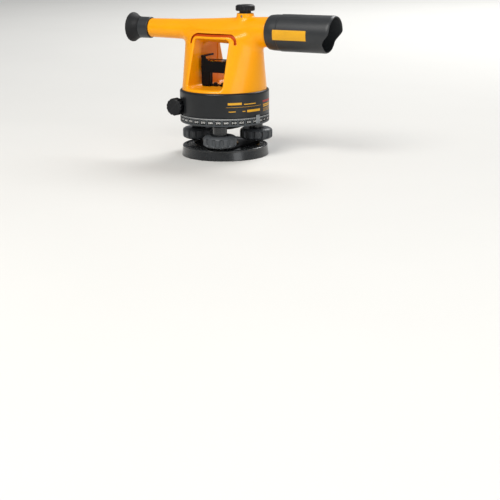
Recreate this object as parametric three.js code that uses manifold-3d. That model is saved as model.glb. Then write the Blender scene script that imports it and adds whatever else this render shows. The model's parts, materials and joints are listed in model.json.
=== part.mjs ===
// Builder's level: a surveying instrument with a telescope, a tube vial, a horizontal circle and a
// three-screw levelling base. Millimetres, +Z up, +X along the telescope towards the objective.
// The origin is on the vertical axis, at the underside of the footplate.
import * as THREE from 'three';
import { mergeVertices } from 'three/addons/utils/BufferGeometryUtils.js';
import Module from 'manifold-3d';

const wasm = await Module();
wasm.setup();

// ---------- driving dimensions ----------
const GAP = 0.3; // air between neighbours that meet
const FINE = 32; // facets round a large turned part
const MEDIUM = 20; // facets round a telescope part
const SMALL = 12; // facets round a screw, bush or pin
const MERGE = 1e-4; // vertices closer than this are one

const FOOT_R = 55.9;
const FOOT_H = 12.5;
const THREAD_R = 7.4; // minor radius of the 5/8 in tripod thread
const SCREW_CIRCLE = 43.5;
const SCREW_ANGLES = { front: -69.2, right: 50.8, left: 170.8 };
const BALL_R = 4.5;
const BALL_Z = 8.6;
const KNOB_R = 21.5;
const KNOB_Z = 16.8;
const KNOB_H = 14.4;
const LEVEL_SCREW_R = 4;
const BOSS_R = 9;
const BOSS_Z = 28;
const TRIBRACH_Z = 35.5;
const TRIBRACH_TOP = 43;

const CIRCLE_R = 57.1;
const CIRCLE_Z = 43.5;
const CIRCLE_TOP = 54;
const HUB_R = 21.5;
const BUSH_R = 13;
const SPINDLE_R = 8;
const WHEEL_R = 41.4;
const WORM_X = -46;
const WORM_Z = 64.2;
const WORM_R = 4;
const INDEX_ANGLE = -15.2;

const HOUSING_R = 57;
const HOUSING_Z = 54.4;
const DECK_Z = 79;
const LIP_Z = 84.8;
const TANGENT_R = 11.3;
const TANGENT_BACK = -37;
const TANGENT_FACE = -51;

const SKIRT_R = 54;
const BODY_TOP_Z = 147;
const BODY_HALF_X = 53;
const BODY_HALF_Y = 32;
const WINDOW_LOW = 26.1; // half the window's width at its foot
const WINDOW_HIGH = 24.6; // and at its top
const WINDOW_Z = 88.3;
const WINDOW_TOP = 148.4;
const WINDOW_SKEW = -5.2; // the window passes through the body at this small angle

const AXIS_Z = 157.6; // optical axis above the footplate's underside
const TUBE_BACK = -106.8;
const TUBE_FRONT = 66.2;
const BORE_R = 9.3;
const SPIGOT_R = 15.5;
const SHADE_R = 22.9;
const SHADE_START = 66.6;
const SHADE_END = 155.3;
const SHADE_LOW_END = 145;
const EYE_NECK_R = 13.6;
const EYE_RIM_R = 19.05;
const EYE_END = -137;

const FOCUS_X = 31;
const FOCUS_R = 12.2;
const FOCUS_Z = 183;
const FOCUS_TOP = 190.5;
const COLLAR_R = 10.7;
const COLLAR_TOP = 180;
const TOOTH_MODULE = 0.5;
const PINION_TEETH = 16;
const PINION_Z = 167;
const CARRIAGE_R = 9;

const VIAL_Y = -10.5;
const VIAL_Z = 115.6;
const VIAL_R = 6;

// ---------- materials ----------
const paint = (color, roughness, metalness) =>
  new THREE.MeshStandardMaterial({ color, roughness, metalness });
const YELLOW = paint(0xf7a81b, 0.35, 0.0);
const BLACK_GLOSS = paint(0x141516, 0.25, 0.0);
const BLACK_SATIN = paint(0x2e3032, 0.45, 0.0);
const CHARCOAL = paint(0x38393b, 0.7, 0.0);
const RUBBER = paint(0x26272a, 0.85, 0.0);
const CIRCLE_GREY = paint(0x4a4c4e, 0.5, 0.2);
const LIGHT_GREY = paint(0xc4c7c8, 0.5, 0.1);
const BRASS = paint(0xb5904a, 0.35, 1.0);
const STEEL = paint(0xa9adb0, 0.35, 1.0);
const ALUMINIUM = paint(0xb9bcbf, 0.4, 1.0);
const GLASS = paint(0xdfeee8, 0.05, 0.0);
const SPIRIT = paint(0xcfe25a, 0.1, 0.0);

// ---------- shape helpers ----------
const rad = THREE.MathUtils.degToRad;

/** A closed three.js geometry as a manifold solid, with its faces pointing out. */
function toSolid(source) {
  source.deleteAttribute('normal');
  source.deleteAttribute('uv');
  const geometry = mergeVertices(source, MERGE);
  const points = geometry.attributes.position.array;
  const index = geometry.index.array;
  const corners = [];
  let volume = 0;
  for (let i = 0; i < index.length; i += 3) {
    const [a, b, c] = [index[i], index[i + 1], index[i + 2]];
    if (a === b || b === c || a === c) continue;
    corners.push(a, b, c);
    const [p, q, r] = [a, b, c].map((k) => new THREE.Vector3().fromArray(points, 3 * k));
    volume += p.dot(q.cross(r));
  }
  if (volume < 0) corners.reverse();
  const vertProperties = new Float32Array(points);
  const triVerts = new Uint32Array(corners);
  return new wasm.Manifold(new wasm.Mesh({ numProp: 3, vertProperties, triVerts }));
}

/** Turns a shape made about +Y so that its axis is +X, +Y or +Z, and moves it. */
function place(geometry, axis, [x, y, z]) {
  if (axis === 'x') geometry.rotateZ(-Math.PI / 2);
  if (axis === 'z') geometry.rotateX(Math.PI / 2);
  return geometry.translate(x, y, z);
}

/** A turned solid. The profile's points are [radius, height along the axis]. */
function turned(profile, axis, at, segments = FINE) {
  const points = profile.map(([r, h]) => new THREE.Vector2(r, h));
  return toSolid(place(new THREE.LatheGeometry(points, segments), axis, at));
}

/** A plain rod from height a to height b along its axis. */
function rod(radius, a, b, axis, at, segments = SMALL) {
  return turned([[0, a], [radius, a], [radius, b], [0, b]], axis, at, segments);
}

/** A tube from height a to height b along its axis. */
function tube(outer, inner, a, b, axis, at, segments = MEDIUM) {
  return turned([[inner, a], [outer, a], [outer, b], [inner, b], [inner, a]], axis, at, segments);
}

/** A box between two corners. */
function block([x0, y0, z0], [x1, y1, z1]) {
  const geometry = new THREE.BoxGeometry(x1 - x0, y1 - y0, z1 - z0);
  return toSolid(geometry.translate((x0 + x1) / 2, (y0 + y1) / 2, (z0 + z1) / 2));
}

/** A flat outline in X and Z, made into a prism from y0 to y1. */
function prismY(shape, y0, y1, curveSegments = 6) {
  const geometry = new THREE.ExtrudeGeometry(shape, {
    depth: y1 - y0,
    bevelEnabled: false,
    curveSegments,
  });
  return toSolid(geometry.rotateX(Math.PI / 2).translate(0, y1, 0));
}

/** A flat outline in X and Y, made into a prism from z0 to z1. */
function prismZ(shape, z0, z1, curveSegments = 6) {
  const geometry = new THREE.ExtrudeGeometry(shape, {
    depth: z1 - z0,
    bevelEnabled: false,
    curveSegments,
  });
  return toSolid(geometry.translate(0, 0, z0));
}

/** An outline through points given in polar form by a function of the turn from 0 to 1. */
function polarShape(radiusAt, count) {
  const points = [];
  for (let i = 0; i < count; i += 1) {
    const angle = (2 * Math.PI * i) / count;
    const radius = radiusAt(i / count);
    points.push(new THREE.Vector2(radius * Math.cos(angle), radius * Math.sin(angle)));
  }
  return new THREE.Shape(points);
}

/** A knob outline with rounded ribs between shallow flutes. */
function flutedShape(radius, depth, flutes) {
  const wave = (turn) => Math.abs(Math.cos(Math.PI * flutes * turn));
  return polarShape((turn) => radius - depth * (1 - wave(turn)), flutes * 4);
}

/** A rectangle in X and Z whose corners have the given radius. */
function roundedWindow(halfLow, halfHigh, z0, z1, r) {
  const shape = new THREE.Shape();
  shape.moveTo(-halfLow + r, z0);
  shape.lineTo(halfLow - r, z0);
  shape.quadraticCurveTo(halfLow, z0, halfLow, z0 + r);
  shape.lineTo(halfHigh, z1 - r);
  shape.quadraticCurveTo(halfHigh, z1, halfHigh - r, z1);
  shape.lineTo(-halfHigh + r, z1);
  shape.quadraticCurveTo(-halfHigh, z1, -halfHigh, z1 - r);
  shape.lineTo(-halfLow, z0 + r);
  shape.quadraticCurveTo(-halfLow, z0, -halfLow + r, z0);
  return shape;
}

const join = (first, ...others) => others.reduce((whole, part) => whole.add(part), first);
const cut = (first, ...tools) => tools.reduce((whole, tool) => whole.subtract(tool), first);

/** The point on the levelling screws' circle at one screw. */
function screwPoint(side, z = 0) {
  const angle = rad(SCREW_ANGLES[side]);
  return [SCREW_CIRCLE * Math.cos(angle), SCREW_CIRCLE * Math.sin(angle), z];
}

const group = new THREE.Group();

/** Adds a solid to the model as one named mesh. */
function add(name, solid, material) {
  const { vertProperties, triVerts } = solid.getMesh();
  const geometry = new THREE.BufferGeometry();
  geometry.setAttribute('position', new THREE.BufferAttribute(new Float32Array(vertProperties), 3));
  geometry.setIndex(new THREE.BufferAttribute(new Uint32Array(triVerts), 1));
  geometry.computeVertexNormals();
  const mesh = new THREE.Mesh(geometry, material);
  mesh.name = name;
  group.add(mesh);
}

// ---------- footplate and what is let into it ----------
const SIDES = Object.keys(SCREW_ANGLES);
const REAR = SIDES.filter((side) => side !== 'front');
const SEAT_R = 6.6;
const SEAT_BOTTOM = 3;
const PLATE_Z = FOOT_H + GAP;
const PLATE_H = 1;
const BUSH_OUTER = 13;

/** A bar along the front screw's radius, through the height of the ball's centre. */
function radialBar(radius, from, to) {
  const geometry = new THREE.CylinderGeometry(radius, radius, to - from, 20);
  geometry.rotateZ(-Math.PI / 2).translate((from + to) / 2, 0, 0);
  return toSolid(geometry.rotateZ(rad(SCREW_ANGLES.front)).translate(0, 0, BALL_Z));
}

/** The space for a ball foot: a half ball, open upwards. */
function ballSocket(side) {
  const [x, y] = screwPoint(side);
  const sphere = new THREE.SphereGeometry(BALL_R + GAP, 16, 8).rotateX(Math.PI / 2);
  const hollow = toSolid(sphere.translate(x, y, BALL_Z));
  return join(hollow, rod(BALL_R + GAP, BALL_Z, FOOT_H + 4, 'z', [x, y, 0]));
}

function footplate() {
  const rim = FOOT_R - 1.4;
  const disc = turned([
    [BUSH_OUTER + GAP, 0], [FOOT_R, 0], [rim + 0.3, 10], [rim - 0.3, 12.5], [rim - 2.2, 13.5],
    [rim - 4.6, FOOT_H], [BUSH_OUTER + GAP, FOOT_H], [BUSH_OUTER + GAP, 0],
  ], 'z', [0, 0, 0]);
  const seats = REAR.map((side) =>
    rod(SEAT_R + GAP, SEAT_BOTTOM - GAP, FOOT_H + 4, 'z', screwPoint(side)));
  const groove = radialBar(SEAT_R + GAP, SCREW_CIRCLE - 7 - GAP, SCREW_CIRCLE + 7 + GAP);
  const ends = block([SCREW_CIRCLE - 7 - GAP, -SEAT_R - GAP, BALL_Z],
    [SCREW_CIRCLE + 7 + GAP, SEAT_R + GAP, FOOT_H + 4]).rotate([0, 0, SCREW_ANGLES.front]);
  return cut(disc, groove, ends, ...seats);
}

/** A three-armed leaf whose arms reach over the ball feet. */
function springPlate() {
  const reach = (turn) => {
    const lobe = Math.cos(3 * (2 * Math.PI * turn - rad(SCREW_ANGLES.front)));
    return 31 + 17 * Math.pow((1 + lobe) / 2, 1.6);
  };
  const leaf = prismZ(polarShape(reach, 36), PLATE_Z, PLATE_Z + PLATE_H);
  const necks = SIDES.map((side) => rod(3.3, PLATE_Z - 1, PLATE_Z + 3, 'z', screwPoint(side)));
  return cut(leaf, rod(BUSH_OUTER + GAP, PLATE_Z - 1, PLATE_Z + 3, 'z', [0, 0, 0], MEDIUM),
    ...necks);
}

/** The brass bush for the tripod's screw. Its flange clamps the spring plate. */
function threadBush() {
  const flange = PLATE_Z + PLATE_H + GAP;
  return turned([
    [THREAD_R, 1], [THREAD_R + 0.9, 0.2], [BUSH_OUTER, 0.2], [BUSH_OUTER, flange],
    [BUSH_OUTER + 4, flange], [BUSH_OUTER + 4, flange + 1.2], [THREAD_R + 0.9, flange + 1.2],
    [THREAD_R, flange + 0.4], [THREAD_R, 1],
  ], 'z', [0, 0, 0], MEDIUM);
}

function rearSeat(side) {
  const cup = rod(SEAT_R, SEAT_BOTTOM, FOOT_H - 0.4, 'z', screwPoint(side), 16);
  return cut(cup, ballSocket(side));
}

/** The front seat lies in a groove along the front screw's radius, and rocks in it. */
function frontSeat() {
  const bar = radialBar(SEAT_R, SCREW_CIRCLE - 7, SCREW_CIRCLE + 7);
  const above = block([-80, -80, FOOT_H - 0.5], [80, 80, FOOT_H + 20]);
  return cut(bar, above, ballSocket('front'));
}

add('footplate', footplate(), BLACK_GLOSS);
add('tripod_thread_bush', threadBush(), BRASS);
add('spring_plate', springPlate(), BLACK_GLOSS);
REAR.forEach((side) => add(`${side}_foot_seat`, rearSeat(side), STEEL));
add('front_foot_seat', frontSeat(), STEEL);

// ---------- levelling screws ----------
const SCREW_BOTTOM = 15.2;
const SCREW_TOP = 38.6;
const STUD_R = 2;

/** A ball foot and the stud that stands in the screw's lower end. */
function ballFoot(side) {
  const [x, y] = screwPoint(side);
  const ball = toSolid(new THREE.SphereGeometry(BALL_R, 16, 8).rotateX(Math.PI / 2)
    .translate(x, y, BALL_Z));
  return join(ball, rod(STUD_R, BALL_Z + 2, SCREW_BOTTOM + 7, 'z', [x, y, 0], 12));
}

function levellingScrew(side) {
  const at = screwPoint(side);
  const shank = turned([
    [0, SCREW_BOTTOM], [LEVEL_SCREW_R - 0.6, SCREW_BOTTOM], [LEVEL_SCREW_R, SCREW_BOTTOM + 0.6],
    [LEVEL_SCREW_R, SCREW_TOP - 0.6], [LEVEL_SCREW_R - 0.6, SCREW_TOP], [0, SCREW_TOP],
  ], 'z', at, 16);
  return cut(shank, rod(STUD_R + GAP, SCREW_BOTTOM - 1, SCREW_BOTTOM + 7.6, 'z', at, 12));
}

/** A fluted knob, counterbored so that the tribrach's boss can sink into it. */
function levellingKnob(side) {
  const at = screwPoint(side);
  const [x, y] = at;
  const top = KNOB_Z + KNOB_H;
  const fluted = prismZ(flutedShape(KNOB_R, 1.9, 13), KNOB_Z, top).translate([x, y, 0]);
  const round = turned([
    [0, KNOB_Z], [KNOB_R - 3.4, KNOB_Z], [KNOB_R, KNOB_Z + 2.6], [KNOB_R, top - 2.6],
    [KNOB_R - 3.4, top], [0, top],
  ], 'z', at, 26);
  const counterbore = rod(BOSS_R + 0.9, BOSS_Z - 5.6, top + 1, 'z', at, 20);
  return cut(fluted.intersect(round), counterbore,
    rod(LEVEL_SCREW_R + GAP, KNOB_Z - 1, top, 'z', at, 16));
}

SIDES.forEach((side) => {
  add(`${side}_ball_foot`, ballFoot(side), STEEL);
  add(`${side}_levelling_screw`, levellingScrew(side), BRASS);
  add(`${side}_levelling_knob`, levellingKnob(side), CHARCOAL);
});

// ---------- tribrach ----------
const THREAD_BUSH_R = 6.4;

/** One arm of the tribrach with the boss at its end. */
function tribrachArm(side) {
  const at = screwPoint(side);
  const arm = block([8, -6.5, TRIBRACH_Z + 1.5], [SCREW_CIRCLE, 6.5, TRIBRACH_TOP])
    .rotate([0, 0, SCREW_ANGLES[side]]);
  const boss = turned([
    [0, BOSS_Z], [BOSS_R - 0.8, BOSS_Z], [BOSS_R, BOSS_Z + 0.8], [BOSS_R, TRIBRACH_TOP - 0.8],
    [BOSS_R - 0.8, TRIBRACH_TOP], [0, TRIBRACH_TOP],
  ], 'z', at, 20);
  return join(arm, boss);
}

function tribrach() {
  const hub = turned([
    [0, TRIBRACH_Z], [HUB_R - 2, TRIBRACH_Z], [HUB_R + 2, TRIBRACH_Z + 3],
    [HUB_R + 2, TRIBRACH_TOP], [HUB_R, TRIBRACH_TOP], [HUB_R, CIRCLE_TOP - 1.5],
    [0, CIRCLE_TOP - 1.5],
  ], 'z', [0, 0, 0]);
  const whole = join(hub, ...SIDES.map(tribrachArm));
  const threads = SIDES.map((side) =>
    rod(THREAD_BUSH_R + GAP, BOSS_Z - 1, TRIBRACH_TOP - 0.8, 'z', screwPoint(side), 16));
  return cut(whole, rod(BUSH_R + GAP, TRIBRACH_Z - 1, CIRCLE_TOP + 1, 'z', [0, 0, 0], MEDIUM),
    ...threads);
}

const screwBush = (side) => tube(THREAD_BUSH_R, LEVEL_SCREW_R + GAP, BOSS_Z + 0.3,
  TRIBRACH_TOP - 1.4, 'z', screwPoint(side), 16);

const SPINDLE_BUSH_TOP = 70;
const HUB_CAP_TOP = TRIBRACH_Z - GAP;

add('tribrach', tribrach(), BLACK_GLOSS);
SIDES.forEach((side) => add(`${side}_thread_bush`, screwBush(side), BRASS));
add('spindle_bush', tube(BUSH_R, SPINDLE_R + GAP, TRIBRACH_Z + 0.7, SPINDLE_BUSH_TOP, 'z',
  [0, 0, 0]), BRASS);
add('hub_cap', turned([[0, HUB_CAP_TOP - 1.6], [14, HUB_CAP_TOP - 1.6], [15.4, HUB_CAP_TOP - 0.6],
  [15.4, HUB_CAP_TOP], [0, HUB_CAP_TOP]], 'z', [0, 0, 0], MEDIUM), BLACK_SATIN);

// ---------- horizontal circle and slow-motion wheel ----------
function horizontalCircle() {
  return turned([
    [HUB_R + GAP, 45], [CIRCLE_R - 4, 45], [CIRCLE_R - 4, CIRCLE_Z], [CIRCLE_R, CIRCLE_Z],
    [CIRCLE_R, CIRCLE_TOP - 0.5], [CIRCLE_R - 0.5, CIRCLE_TOP], [CIRCLE_R - 5, CIRCLE_TOP],
    [CIRCLE_R - 5, 49], [HUB_R + GAP, 49], [HUB_R + GAP, 45],
  ], 'z', [0, 0, 0]);
}

function wormWheel() {
  const bore = BUSH_R + GAP;
  const web = WHEEL_R - 7.4;
  return turned([
    [bore, -6], [bore + 4.7, -6], [web, -1.7], [web, -3.1], [WHEEL_R, -3.1], [WHEEL_R, 3.1],
    [web, 3.1], [web, 1.5], [bore, 4.1], [bore, -6],
  ], 'z', [0, 0, WORM_Z]);
}

add('horizontal_circle', horizontalCircle(), CIRCLE_GREY);
add('worm_wheel', wormWheel(), BRASS);

// ---------- base housing ----------
const HOUSING_WALL = 3;
const DECK_H = 3;
const POCKET_R = TANGENT_R + 1.1;
const POCKET_WALL = 1.8;
const DECK_SCREW_R = 30;
const DECK_SCREWS = 3;
const SHAFT_R = 2.5;

/** Points evenly spaced on a circle about the vertical axis, the first in front. */
function ringPoints(radius, count) {
  return Array.from({ length: count }, (_, i) => {
    const angle = (2 * Math.PI * i) / count - Math.PI / 2;
    return [radius * Math.cos(angle), radius * Math.sin(angle), 0];
  });
}

function baseHousing() {
  const inner = HOUSING_R - HOUSING_WALL;
  const lip = SKIRT_R + GAP;
  const shell = turned([
    [inner, HOUSING_Z], [HOUSING_R - 0.5, HOUSING_Z], [HOUSING_R, HOUSING_Z + 0.5],
    [HOUSING_R, LIP_Z - 2.6], [HOUSING_R - 0.8, LIP_Z - 0.8], [HOUSING_R - 2.1, LIP_Z],
    [lip, LIP_Z], [lip, DECK_Z], [0, DECK_Z],
    [0, DECK_Z - DECK_H], [inner, DECK_Z - DECK_H], [inner, HOUSING_Z],
  ], 'z', [0, 0, 0]);
  const at = [WORM_X, 0, WORM_Z];
  const nest = rod(POCKET_R + POCKET_WALL, -60, TANGENT_BACK + 3, 'y', at, MEDIUM)
    .intersect(rod(HOUSING_R - 0.2, HOUSING_Z, DECK_Z - 1, 'z', [0, 0, 0], FINE));
  const pocket = rod(POCKET_R, -70, TANGENT_BACK + 0.6, 'y', at, MEDIUM);
  const shaftHole = rod(3.2, -70, 0, 'y', at);
  const holes = ringPoints(DECK_SCREW_R, DECK_SCREWS).map((p) => rod(2.4, 70, 90, 'z', p, 16));
  return cut(join(shell, nest), pocket, shaftHole, ...holes,
    rod(SPINDLE_R + GAP, 70, 90, 'z', [0, 0, 0], MEDIUM));
}

function baseCover() {
  const ring = tube(HOUSING_R - HOUSING_WALL - GAP, BUSH_R + 1, HOUSING_Z + 0.4, HOUSING_Z + 2, 'z',
    [0, 0, 0], FINE);
  return cut(ring, rod(POCKET_R + POCKET_WALL + GAP, -70, TANGENT_BACK + 3.4, 'y',
    [WORM_X, 0, WORM_Z], MEDIUM));
}

function spindle() {
  return turned([
    [0, TRIBRACH_Z + 0.5], [SPINDLE_R - 1, TRIBRACH_Z + 0.5], [SPINDLE_R, TRIBRACH_Z + 1.5],
    [SPINDLE_R, SPINDLE_BUSH_TOP + 0.6], [20, SPINDLE_BUSH_TOP + 1.6], [20, DECK_Z - DECK_H - GAP],
    [SPINDLE_R, DECK_Z - DECK_H - GAP], [SPINDLE_R, DECK_Z], [0, DECK_Z],
  ], 'z', [0, 0, 0], MEDIUM);
}

/** A cap screw that goes up through the deck into the body casting. */
function deckScrew(at) {
  const head = DECK_Z - DECK_H - GAP;
  return turned([[0, head - 3], [3.6, head - 3], [3.6, head], [2, head], [2, DECK_Z + 6],
    [0, DECK_Z + 6]], 'z', at, 16);
}

/** Two bearing blocks that carry the worm shaft below the deck. */
function wormBracket() {
  const top = DECK_Z - DECK_H - GAP;
  const bearing = (y) => block([WORM_X - 4, y, WORM_Z - 5], [WORM_X + 4.5, y + 4, top]);
  const bridge = block([WORM_X - 4, -17, top - 2.6], [WORM_X + 4.5, 17, top]);
  return cut(join(bearing(-17), bearing(13), bridge),
    rod(SHAFT_R + GAP, -40, 40, 'y', [WORM_X, 0, WORM_Z]));
}

function wormShaft() {
  return turned([
    [0, TANGENT_FACE + 3], [SHAFT_R, TANGENT_FACE + 3], [SHAFT_R, -12], [WORM_R, -11],
    [WORM_R, 11], [SHAFT_R, 12], [SHAFT_R, 19], [0, 19],
  ], 'y', [WORM_X, 0, WORM_Z], 16);
}

/** The slow-motion knob: a deep ribbed drum that tapers at its back to pass the circle. */
function tangentKnob() {
  const at = [WORM_X, 0, WORM_Z];
  const ribs = prismY(flutedShape(TANGENT_R, 1.3, 14), TANGENT_FACE, TANGENT_BACK)
    .translate([WORM_X, 0, WORM_Z]);
  const round = turned([
    [0, TANGENT_FACE], [TANGENT_R - 2.6, TANGENT_FACE], [TANGENT_R - 1, TANGENT_FACE + 0.6],
    [TANGENT_R, TANGENT_FACE + 2], [TANGENT_R, TANGENT_BACK - 4.8],
    [TANGENT_R - 2.1, TANGENT_BACK], [0, TANGENT_BACK],
  ], 'y', at, MEDIUM);
  return cut(ribs.intersect(round),
    rod(SHAFT_R + GAP, TANGENT_FACE + 2.7, TANGENT_BACK + 1, 'y', at));
}

/** A small index plate that hangs from the housing over the circle's graduations. */
function indexPlate() {
  const ring = tube(CIRCLE_R + 1.5, CIRCLE_R + 0.4, 45.6, 56.4, 'z', [0, 0, 0], 96);
  const keep = block([40, -3.2, 40], [70, 3.2, 60]).rotate([0, 0, INDEX_ANGLE]);
  return ring.intersect(keep);
}

add('base_housing', baseHousing(), BLACK_SATIN);
add('base_cover', baseCover(), ALUMINIUM);
add('spindle', spindle(), STEEL);
ringPoints(DECK_SCREW_R, DECK_SCREWS).forEach((at, i) =>
  add(`deck_screw_${i + 1}`, deckScrew(at), STEEL));
add('worm_bracket', wormBracket(), ALUMINIUM);
add('worm_shaft', wormShaft(), STEEL);
add('tangent_knob', tangentKnob(), CHARCOAL);
add('index_plate', indexPlate(), LIGHT_GREY);

// ---------- body casting ----------
/** The tapering body between the skirt and the telescope, grown or shrunk by an offset. */
function bodyForm(offset) {
  const span = BODY_TOP_Z - LIP_Z;
  const levels = [
    [DECK_Z + GAP, SKIRT_R, SKIRT_R], [LIP_Z, SKIRT_R, SKIRT_R],
    ...[0.25, 0.5, 0.75, 1].map((t) => [
      LIP_Z + span * t,
      SKIRT_R + (BODY_HALF_X - SKIRT_R) * t,
      SKIRT_R + (BODY_HALF_Y - SKIRT_R) * t,
    ]),
    [151.8, 52, 31.8], [155.2, 49, 27], [157.4, 44, 20],
  ];
  const geometry = new THREE.CylinderGeometry(1, 1, levels.length - 1, FINE, levels.length - 1);
  geometry.rotateX(Math.PI / 2);
  const position = geometry.attributes.position;
  for (let i = 0; i < position.count; i += 1) {
    const level = Math.round(position.getZ(i) + (levels.length - 1) / 2);
    const [z, halfX, halfY] = levels[level];
    const shift = level === levels.length - 1 ? offset : 0;
    position.setXYZ(i, position.getX(i) * (halfX + offset), position.getY(i) * (halfY + offset),
      z + shift);
  }
  return toSolid(geometry);
}

const GROOVE_SHIFT = -1.2; // how far the groove sits towards the eyepiece

/** The inverted U that is sunk into both faces above the window. */
function windowGroove() {
  const outer = roundedWindow(35.4, 31.6, 142.4, 155.4, 9);
  const inner = roundedWindow(32.6, 28.8, 130, 152.4, 7);
  const band = cut(prismY(outer, -60, 60, 3), prismY(inner, -61, 61, 3),
    block([-60, -61, 120], [60, 61, 142.4]));
  return cut(band.translate([GROOVE_SHIFT, 0, 0]), bodyForm(-1.8));
}

/** The outside of the telescope tube, with the spigot for the sunshade at its front. */
function telescopeOutside() {
  return turned([
    [0, TUBE_BACK], [11.4, TUBE_BACK], [12, TUBE_BACK + 0.6], [12.7, -59], [14.8, -14],
    [16.6, 16], [18.5, 57], [18.7, TUBE_FRONT - 0.6], [18.1, TUBE_FRONT], [SPIGOT_R, TUBE_FRONT],
    [SPIGOT_R, 78], [0, 78],
  ], 'x', [0, 0, AXIS_Z], MEDIUM);
}

function focusCollar() {
  return turned([[0, AXIS_Z], [COLLAR_R + 1.4, AXIS_Z], [COLLAR_R + 1.4, 172], [COLLAR_R, 175.5],
    [COLLAR_R, COLLAR_TOP - 0.6], [COLLAR_R - 0.6, COLLAR_TOP], [0, COLLAR_TOP]],
  'z', [FOCUS_X, 0, 0], MEDIUM);
}

/** The optical bore: a narrow run for the carriage and a wide mouth at the objective. */
function telescopeBore() {
  return turned([
    [0, TUBE_BACK - 1], [BORE_R, TUBE_BACK - 1], [BORE_R, 58], [13, 62], [13, 79], [0, 79],
  ], 'x', [0, 0, AXIS_Z], 24);
}

const RECESS_FRONT = -11.3;
const RECESS_BACK = 23;
const RECESS_DEPTH = 2.6;

/** The window through the body. A recess in both side walls is deepest at its front. */
function windowThrough() {
  const outline = roundedWindow(WINDOW_LOW, WINDOW_HIGH, WINDOW_Z, WINDOW_TOP, 4.5);
  const skewed = (solid) => solid.rotate([0, 0, WINDOW_SKEW]);
  const deep = WINDOW_LOW + RECESS_DEPTH;
  const start = RECESS_FRONT - 3;
  const plan = new THREE.Shape([
    new THREE.Vector2(-deep, start), new THREE.Vector2(deep, start),
    new THREE.Vector2(WINDOW_LOW, RECESS_BACK), new THREE.Vector2(-WINDOW_LOW, RECESS_BACK),
  ]);
  const recess = skewed(prismZ(plan, WINDOW_Z + 0.1, WINDOW_TOP - 2))
    .intersect(block([-40, RECESS_FRONT, WINDOW_Z], [40, 40, WINDOW_TOP]));
  return join(skewed(prismY(outline, -70, 70, 4)), recess);
}

function bodyCasting() {
  const pillars = cut(bodyForm(0), windowThrough());
  const outside = join(pillars, telescopeOutside(), focusCollar());
  const pockets = [-1, 1].map((side) => {
    const [near, far] = [side * 33.5, side * 47];
    return block([Math.min(near, far), -16, 70], [Math.max(near, far), 16, 136]);
  });
  const taps = ringPoints(DECK_SCREW_R, DECK_SCREWS).map((at) =>
    rod(2 + GAP, 70, DECK_Z + 7, 'z', at, 16));
  const collarBore = rod(6.3, 171, 190, 'z', [FOCUS_X, 0, 0], 16);
  const pinionWell = rod(5.2, AXIS_Z, 172, 'z', [FOCUS_X, 0, 0], 16);
  const rackSlot = block([-1, 2.9, 160], [63, 7.9, 170]);
  const setScrew = rod(1.5, -20, 0, 'y', [FOCUS_X, 0, 176.6], 12);
  return cut(outside, windowGroove(), telescopeBore(), ...pockets, ...taps, collarBore, pinionWell,
    rackSlot, setScrew);
}

add('body_casting', bodyCasting(), YELLOW);

// ---------- focusing ----------
const TOOTH_PITCH = Math.PI * TOOTH_MODULE;
const PINION_R = (TOOTH_MODULE * PINION_TEETH) / 2;
const TOOTH_TIP = 0.38;
const TOOTH_ROOT = 0.62;
const TOOTH_HALF = TOOTH_PITCH / 4 - 0.1;
const RACK_TEETH = 20;

/** The half width of a tooth at a height above the pitch line. */
const toothHalf = (height) => TOOTH_HALF - height * Math.tan(rad(20));

function pinionShape() {
  const points = [];
  const corner = (radius, angle) =>
    points.push(new THREE.Vector2(radius * Math.cos(angle), radius * Math.sin(angle)));
  for (let i = 0; i < PINION_TEETH; i += 1) {
    const middle = (2 * Math.PI * i) / PINION_TEETH + Math.PI / 2;
    const low = toothHalf(-TOOTH_ROOT) / PINION_R;
    const high = toothHalf(TOOTH_TIP) / PINION_R;
    corner(PINION_R - TOOTH_ROOT, middle - low);
    corner(PINION_R + TOOTH_TIP, middle - high);
    corner(PINION_R + TOOTH_TIP, middle + high);
    corner(PINION_R - TOOTH_ROOT, middle + low);
  }
  return new THREE.Shape(points);
}

function focusPinion() {
  const gear = prismZ(pinionShape(), PINION_Z, PINION_Z + 2.6).translate([FOCUS_X, 0, 0]);
  return join(gear, rod(3, PINION_Z + 2, FOCUS_TOP - 3, 'z', [FOCUS_X, 0, 0]));
}

/** The rack's teeth face -Y. A gap between two teeth faces the pinion's tooth at rest. */
function rack() {
  const shape = new THREE.Shape();
  const start = FOCUS_X - (RACK_TEETH / 2) * TOOTH_PITCH;
  const back = PINION_R + 3.4;
  shape.moveTo(start, back);
  for (let i = 0; i < RACK_TEETH; i += 1) {
    const middle = start + (i + 0.5) * TOOTH_PITCH;
    shape.lineTo(middle - toothHalf(-TOOTH_ROOT), PINION_R + TOOTH_ROOT);
    shape.lineTo(middle - toothHalf(TOOTH_TIP), PINION_R - TOOTH_TIP);
    shape.lineTo(middle + toothHalf(TOOTH_TIP), PINION_R - TOOTH_TIP);
    shape.lineTo(middle + toothHalf(-TOOTH_ROOT), PINION_R + TOOTH_ROOT);
  }
  shape.lineTo(start + RACK_TEETH * TOOTH_PITCH, back);
  return prismZ(shape, AXIS_Z + 4.5, 169.6);
}

function focusCarriage() {
  const barrel = tube(CARRIAGE_R, CARRIAGE_R - 1.3, FOCUS_X - 16, FOCUS_X + 16, 'x', [0, 0, AXIS_Z],
    24);
  const inside = rod(CARRIAGE_R - 1, FOCUS_X - 40, FOCUS_X + 40, 'x', [0, 0, AXIS_Z], 24);
  return join(barrel, cut(rack(), inside));
}

/** A lens between two spherical caps, its edge turned to a radius. */
function lens(radius, back, front, bulgeBack, bulgeFront) {
  return turned([
    [0, back - bulgeBack], [radius / 2, back - 0.75 * bulgeBack], [radius, back], [radius, front],
    [radius / 2, front + 0.75 * bulgeFront], [0, front + bulgeFront],
  ], 'x', [0, 0, AXIS_Z], 14);
}

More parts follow.
